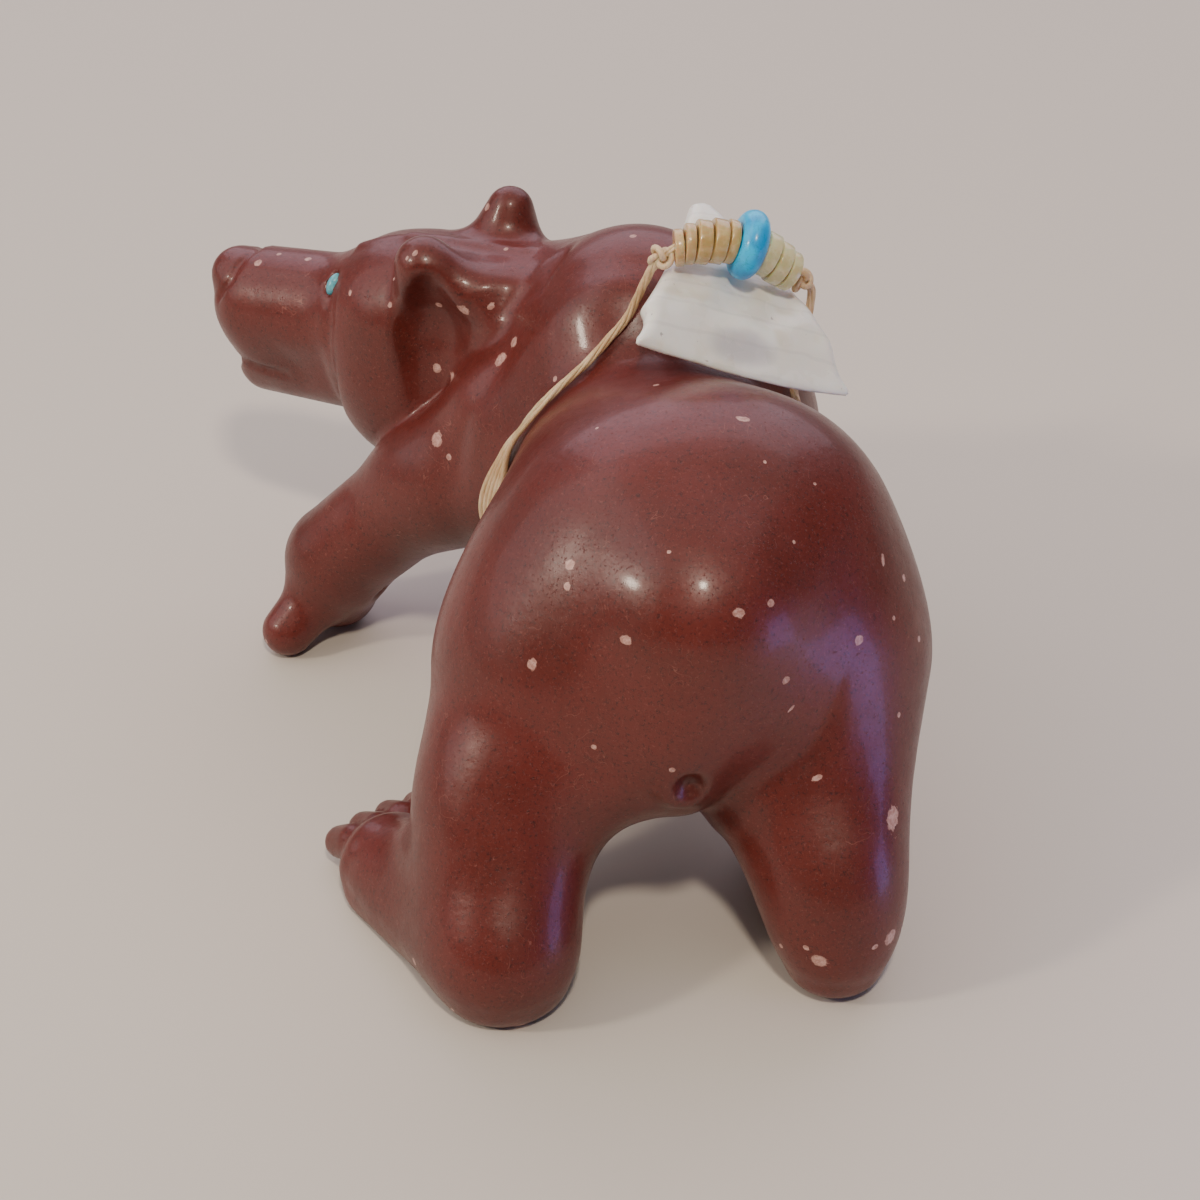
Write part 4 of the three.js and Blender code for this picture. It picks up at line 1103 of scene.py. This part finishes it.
def bead_shell(name, deep, light, streak, lustre):
    """Ground shell: banded across the disc's edge, waxy and a little see-through."""
    shell = Recipe(name)
    on_bead = shell.place()
    cloud = shell.noise(on_bead, 0.5, 3, 0.6)
    bands = shell.noise(shell.place(stretch=(1, 0.3, 0.4), turn=(15, 10, 25)), 1.6, 2, 0.6, 0.4)
    dirt = shell.noise(on_bead, 1.4, 3, 0.7)
    shell.finish(
        Base_Color=shell.layers(
            deep,
            (light, cloud, 0.35, 0.65, 1),
            (streak, bands, 0.5, 0.72, 0.5),
            (tuple(0.7 * c for c in deep), dirt, 0.6, 0.76, 0.4)),
        Roughness=shell.span(cloud, 0.3, 0.7, 0.2, 0.32),
        IOR=1.53,
        Subsurface_Weight=0.35,
        Subsurface_Scale=0.0012,
        Coat_Weight=lustre,
        Coat_Roughness=0.07,
        Normal=shell.relief(bands, 0.03),
    )
    return shell.material


# Turquoise with a faint darker web
bead_turquoise = Recipe("bead_turquoise")
on_turquoise = bead_turquoise.place()
sky = bead_turquoise.noise(on_turquoise, 0.35, 2, 0.5)
webbing = bead_turquoise.noise(on_turquoise, 0.9, 3, 0.6, 0.5)
web_line = bead_turquoise.math("ABSOLUTE", bead_turquoise.math("SUBTRACT", webbing, 0.5))
bead_turquoise.finish(
    Base_Color=bead_turquoise.layers(
        (0, 156, 222),
        ((10, 196, 254), sky, 0.38, 0.62, 1),
        ((20, 110, 140), web_line, 0.02, 0.0, 0.35)),
    Roughness=0.28,
    IOR=1.42,
    Coat_Weight=0.2,
    Coat_Roughness=0.06,
    Subsurface_Weight=0.08,
    Subsurface_Scale=0.0006,
    Normal=bead_turquoise.relief(webbing, 0.03),
)

# Each group's material and slot; a shell's tones are its body, its lighter cloud and
# its streaks, and then its lustre
shell_tones = {
    "tan": ((192, 164, 112), (212, 186, 134), (224, 204, 160), 0.7),
    "amber": ((186, 158, 98), (208, 182, 124), (224, 200, 156), 1.0),
    "pale": ((204, 196, 142), (220, 214, 168), (230, 224, 190), 0.7),
}
bead_finishes = {"turquoise_disc_bead": (bead_turquoise.material, "turquoise")}
for tone, look in shell_tones.items():
    bead_finishes[tone + "_disc_beads"] = (
        bead_shell("bead_" + tone + "_shell", *look), tone + "_shell")

threaded_beads = {}
travelled = (arch_length - row_width) / 2
for group, node_name, width, diameter in bead_row:
    place, heading = along_path(arch, travelled + width / 2)
    travelled += width + bead_gap
    turn = Vector(heading + row_chord).to_track_quat("Z", "Y").to_euler()
    size = Vector((diameter, diameter, width + bead_gap - 0.03)) / 1000
    threaded_beads.setdefault(group, []).append((node_name, place, tuple(turn), tuple(size)))
for group, beads in threaded_beads.items():
    node_names, bead_places, turns, sizes = zip(*beads)
    mesh = bpy.data.meshes.new(group)
    mesh.from_pydata([tuple((place + drawing_shift) / 1000) for place in bead_places], [], [])
    carry(mesh, "bead_turn", turns)
    carry(mesh, "bead_size", sizes)
    finish, slot = bead_finishes[group]
    rounder = group == "turquoise_disc_bead"
    piece = made_real(new_object(group, mesh), disc_bead_tree(group + "_threading", finish), {
        "Bore share": bore_diameter / (turquoise_diameter if rounder else bead_diameter),
        "Corner share": 0.42,
        "Unevenness": 0.0001 if rounder else 0.00012,
        "Seed": float(len(group)),
        "Domed": rounder,
    })
    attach(piece, "root")
    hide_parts(*node_names)


# ---------------------------------------------------------------------------
# The sinew. A flat waxed thread of five fine strands. It runs once round the
# body and over the arrowhead, twists up round to pass through the beads, and
# is tied off in a small knot at each end of the row.
# ---------------------------------------------------------------------------

sinew_width = 2.5
sinew_thickness = 0.5
sinew_clearance = 0.3
cord_thickness = 0.8
strands = 5
twists = 12
knot_size = 0.66


def on_stone_at(place):
    return settled(stone_before_eyes, np.array([place], np.float32),
                   sinew_clearance + sinew_thickness / 2)[0].astype(float)


# The way round: over the arrowhead's right notch, down the right side, under the
# belly, up the left side and back to the left knot
sinew_route = arch_places + [
    on_arrowhead(0.31 * arrowhead_width, row_ahead + 0.8, arrowhead_thickness),
    on_stone_at([20.6, 12.6, 38]),
    on_stone_at([21.3, 10.5, 30]),
    on_stone_at([17, 9, 20]),
    on_stone_at([7, 9, 12.5]),
    on_stone_at([-4, 10, 14.5]),
    on_stone_at([-10.4, 11.5, 22]),
    on_stone_at([-8.7, 10.6, 30]),
    on_stone_at([-6.2, 8.6, 35]),
    on_stone_at([-3.4, 8.6, 38.6]),
    on_stone_at([-0.8, 9.9, 41]),
    on_stone_at([2.2, 11.9, 44.2]),
]
sinew_path = smooth_path(sinew_route, closed=True)
too_near = (stone_before_eyes(sinew_path.astype(np.float32))
            < sinew_clearance + sinew_thickness / 2)
sinew_path[too_near] = settled(stone_before_eyes, sinew_path[too_near],
                               sinew_clearance + sinew_thickness / 2)
heading = np.roll(sinew_path, -1, axis=0) - np.roll(sinew_path, 1, axis=0)
heading /= np.linalg.norm(heading, axis=1)[:, None]
off_stone = slope_of(stone_before_eyes, sinew_path.astype(np.float32)).astype(float)
off_stone -= heading * (off_stone * heading).sum(1)[:, None]
off_stone /= np.linalg.norm(off_stone, axis=1)[:, None]
across_band = np.cross(heading, off_stone)

# It is a round cord at the beads, and flat from 30 millimetres away
from_arch = np.min([np.linalg.norm(sinew_path - place, axis=1) for place in arch_places], axis=0)
flatness = smooth_step(from_arch, 8, 30)
band_width = cord_thickness + (sinew_width - cord_thickness) * flatness
run = np.concatenate([[0], np.cumsum(np.linalg.norm(np.diff(sinew_path, axis=0), axis=1))])


def strand_tree(name, material):
    """Draws each strand's path out into a round waxed strand of its own thickness."""
    drawing = Drawing(name, {
        "Sides": ("NodeSocketInt", 10),
        "Thickness": ("NodeSocketFloat", 1.0),
    })
    given, add = drawing.given, drawing.add
    section = add("GeometryNodeCurvePrimitiveCircle", {
        "Resolution": given["Sides"], "Radius": given["Thickness"]})
    drawn = add("GeometryNodeCurveToMesh", {
        "Curve": given["Geometry"], "Profile Curve": section, "Fill Caps": True,
        "Scale": add("GeometryNodeInputRadius", {})})
    real = add("GeometryNodeRealizeInstances", {"Geometry": drawn})
    return drawing.dress(real, material)


waxed_sinew = Recipe("waxed_sinew")
sinew_cloud = waxed_sinew.noise(waxed_sinew.place(), 0.25, 3, 0.6)
fibre = waxed_sinew.noise(waxed_sinew.place(stretch=(1, 1, 0.18)), 6.0, 2, 0.6)
waxed_sinew.finish(
    Base_Color=waxed_sinew.layers(
        (200, 168, 126),
        ((226, 202, 166), sinew_cloud, 0.35, 0.65, 1),
        ((150, 116, 78), fibre, 0.5, 0.75, 0.4)),
    Roughness=0.5,
    IOR=1.48,
    Coat_Weight=0.15,
    Coat_Roughness=0.3,
    Subsurface_Weight=0.15,
    Subsurface_Scale=0.0008,
    Normal=waxed_sinew.relief(fibre, 0.04),
)

paths = bpy.data.curves.new("sinew_paths", "CURVE")
paths.dimensions = "3D"


def lay_strand(places, radii):
    """One strand's closed path: places in millimetres in the drawing, and its radius."""
    spline = paths.splines.new("POLY")
    spline.points.add(len(places) - 1)
    spline.points.foreach_set("co", np.column_stack(
        [(places + drawing_shift) / 1000, np.ones(len(places))]).ravel())
    radii = np.broadcast_to(np.asarray(radii) / 1000, len(places)).copy()
    spline.points.foreach_set("radius", radii)
    spline.use_cyclic_u = True


# The strands lie side by side in the flat band and round each other in the cord
for strand in range(strands):
    seat = -1 + 2 * strand / (strands - 1)
    twist = 2 * math.pi * strand / strands + 2 * math.pi * twists * run / run[-1]
    flat_across = seat * (band_width / 2 - 0.25)
    flat_out = 0.03 * np.sin(0.5 * run + 2.0 * strand)
    across = flatness * flat_across + (1 - flatness) * (0.24 * np.cos(twist))
    out = flatness * flat_out + (1 - flatness) * (0.24 * np.sin(twist))
    place = sinew_path + across_band * across[:, None] + off_stone * out[:, None]
    lay_strand(place, 0.17 + 0.11 * flatness)

for place, turn in ((arch_places[0], 0.4), (arch_places[-1], -0.5)):
    t = np.linspace(0, 2 * math.pi, 72, endpoint=False)
    from_middle = 1.0 + 0.55 * np.cos(3 * t)
    loops = np.column_stack([from_middle * np.cos(2 * t), 0.75 * np.sin(3 * t),
                             from_middle * np.sin(2 * t)]) * knot_size
    turned = loops @ np.array(Matrix.Rotation(-turn, 3, "Z")).T
    lay_strand(np.asarray(place) + turned, 0.29)
sinew = made_real(new_object("sinew_band", paths),
                  strand_tree("sinew_drawing", waxed_sinew.material), {"Sides": 10})
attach(sinew, "root")
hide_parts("sinew")


# ---------------------------------------------------------------------------
# The studio: a pale table, soft light from above and behind the camera, two
# small lamps, the glow of a window, and the camera where the photograph was
# taken.
# ---------------------------------------------------------------------------

table_reach = 2.5
table_top = Recipe("pale_table")
table_top.finish(Base_Color=paint(206, 200, 191), Roughness=0.7)
table_mesh = bpy.data.meshes.new("table")
table_mesh.from_pydata(
    [(-table_reach, -table_reach, 0), (table_reach, -table_reach, 0),
     (table_reach, table_reach, 0), (-table_reach, table_reach, 0)], [], [(0, 1, 2, 3)])
table_mesh.materials.append(table_top.material)
table = new_object("table", table_mesh)

world = bpy.data.worlds.new("room")
world.use_nodes = True
room_light = world.node_tree.nodes["Background"].inputs
room_light["Color"].default_value = paint(236, 232, 226)
room_light["Strength"].default_value = 0.18
bpy.context.scene.world = world

# Each lamp's place, what it faces, its two sides in metres, its watts and its colour
bear_middle = (0.005, -0.006, 0.022)
right_of_rump = (0.021, -0.029, 0.034)
lamps = {
    "ceiling_lamp": ((0.05, -0.45, 0.72), bear_middle, (0.07, 0.07), 3.4, (255, 238, 218)),
    "second_lamp": ((-0.565, -0.215, 0.41), bear_middle, (0.07, 0.07), 1.9, (255, 238, 218)),
    "soft_overhead": ((0.0, 0.1, 1.35), bear_middle, (2.4, 2.0), 8.2, (250, 246, 240)),
    "pale_wall_behind": ((0.1, 1.1, 0.85), bear_middle, (2.0, 1.2), 13.0, (248, 230, 248)),
    "pale_wall_left": ((-1.0, 0.1, 0.75), bear_middle, (1.0, 1.2), 5.0, (250, 238, 242)),
    "blue_window": ((0.116, -0.060, 0.021), right_of_rump, (0.033, 0.044), 0.02,
                    (150, 150, 255)),
}
for name, (place, target, sides, watts, colour) in lamps.items():
    lamp = bpy.data.lights.new(name, "AREA")
    lamp.shape = "RECTANGLE"
    lamp.size, lamp.size_y = sides
    lamp.energy = watts
    lamp.color = paint(*colour)[:3]
    holder = new_object(name, lamp)
    holder.location = place
    holder.visible_camera = False
    away = Vector(place) - Vector(target)
    holder.rotation_euler = away.to_track_quat("Z", "Y").to_euler()

sensor_side = 36
eye_of_camera = bpy.data.cameras.new("photograph")
eye_of_camera.sensor_width = sensor_side
eye_of_camera.lens = sensor_side * pixels_focal / picture_side
eye_of_camera.clip_start = 0.01
eye_of_camera.clip_end = 20
camera = new_object("photograph", eye_of_camera)
camera.location = Vector(camera_place) / 1000
camera.rotation_euler = Vector(-line_of_sight).to_track_quat("Z", "Y").to_euler()
bpy.context.scene.camera = camera
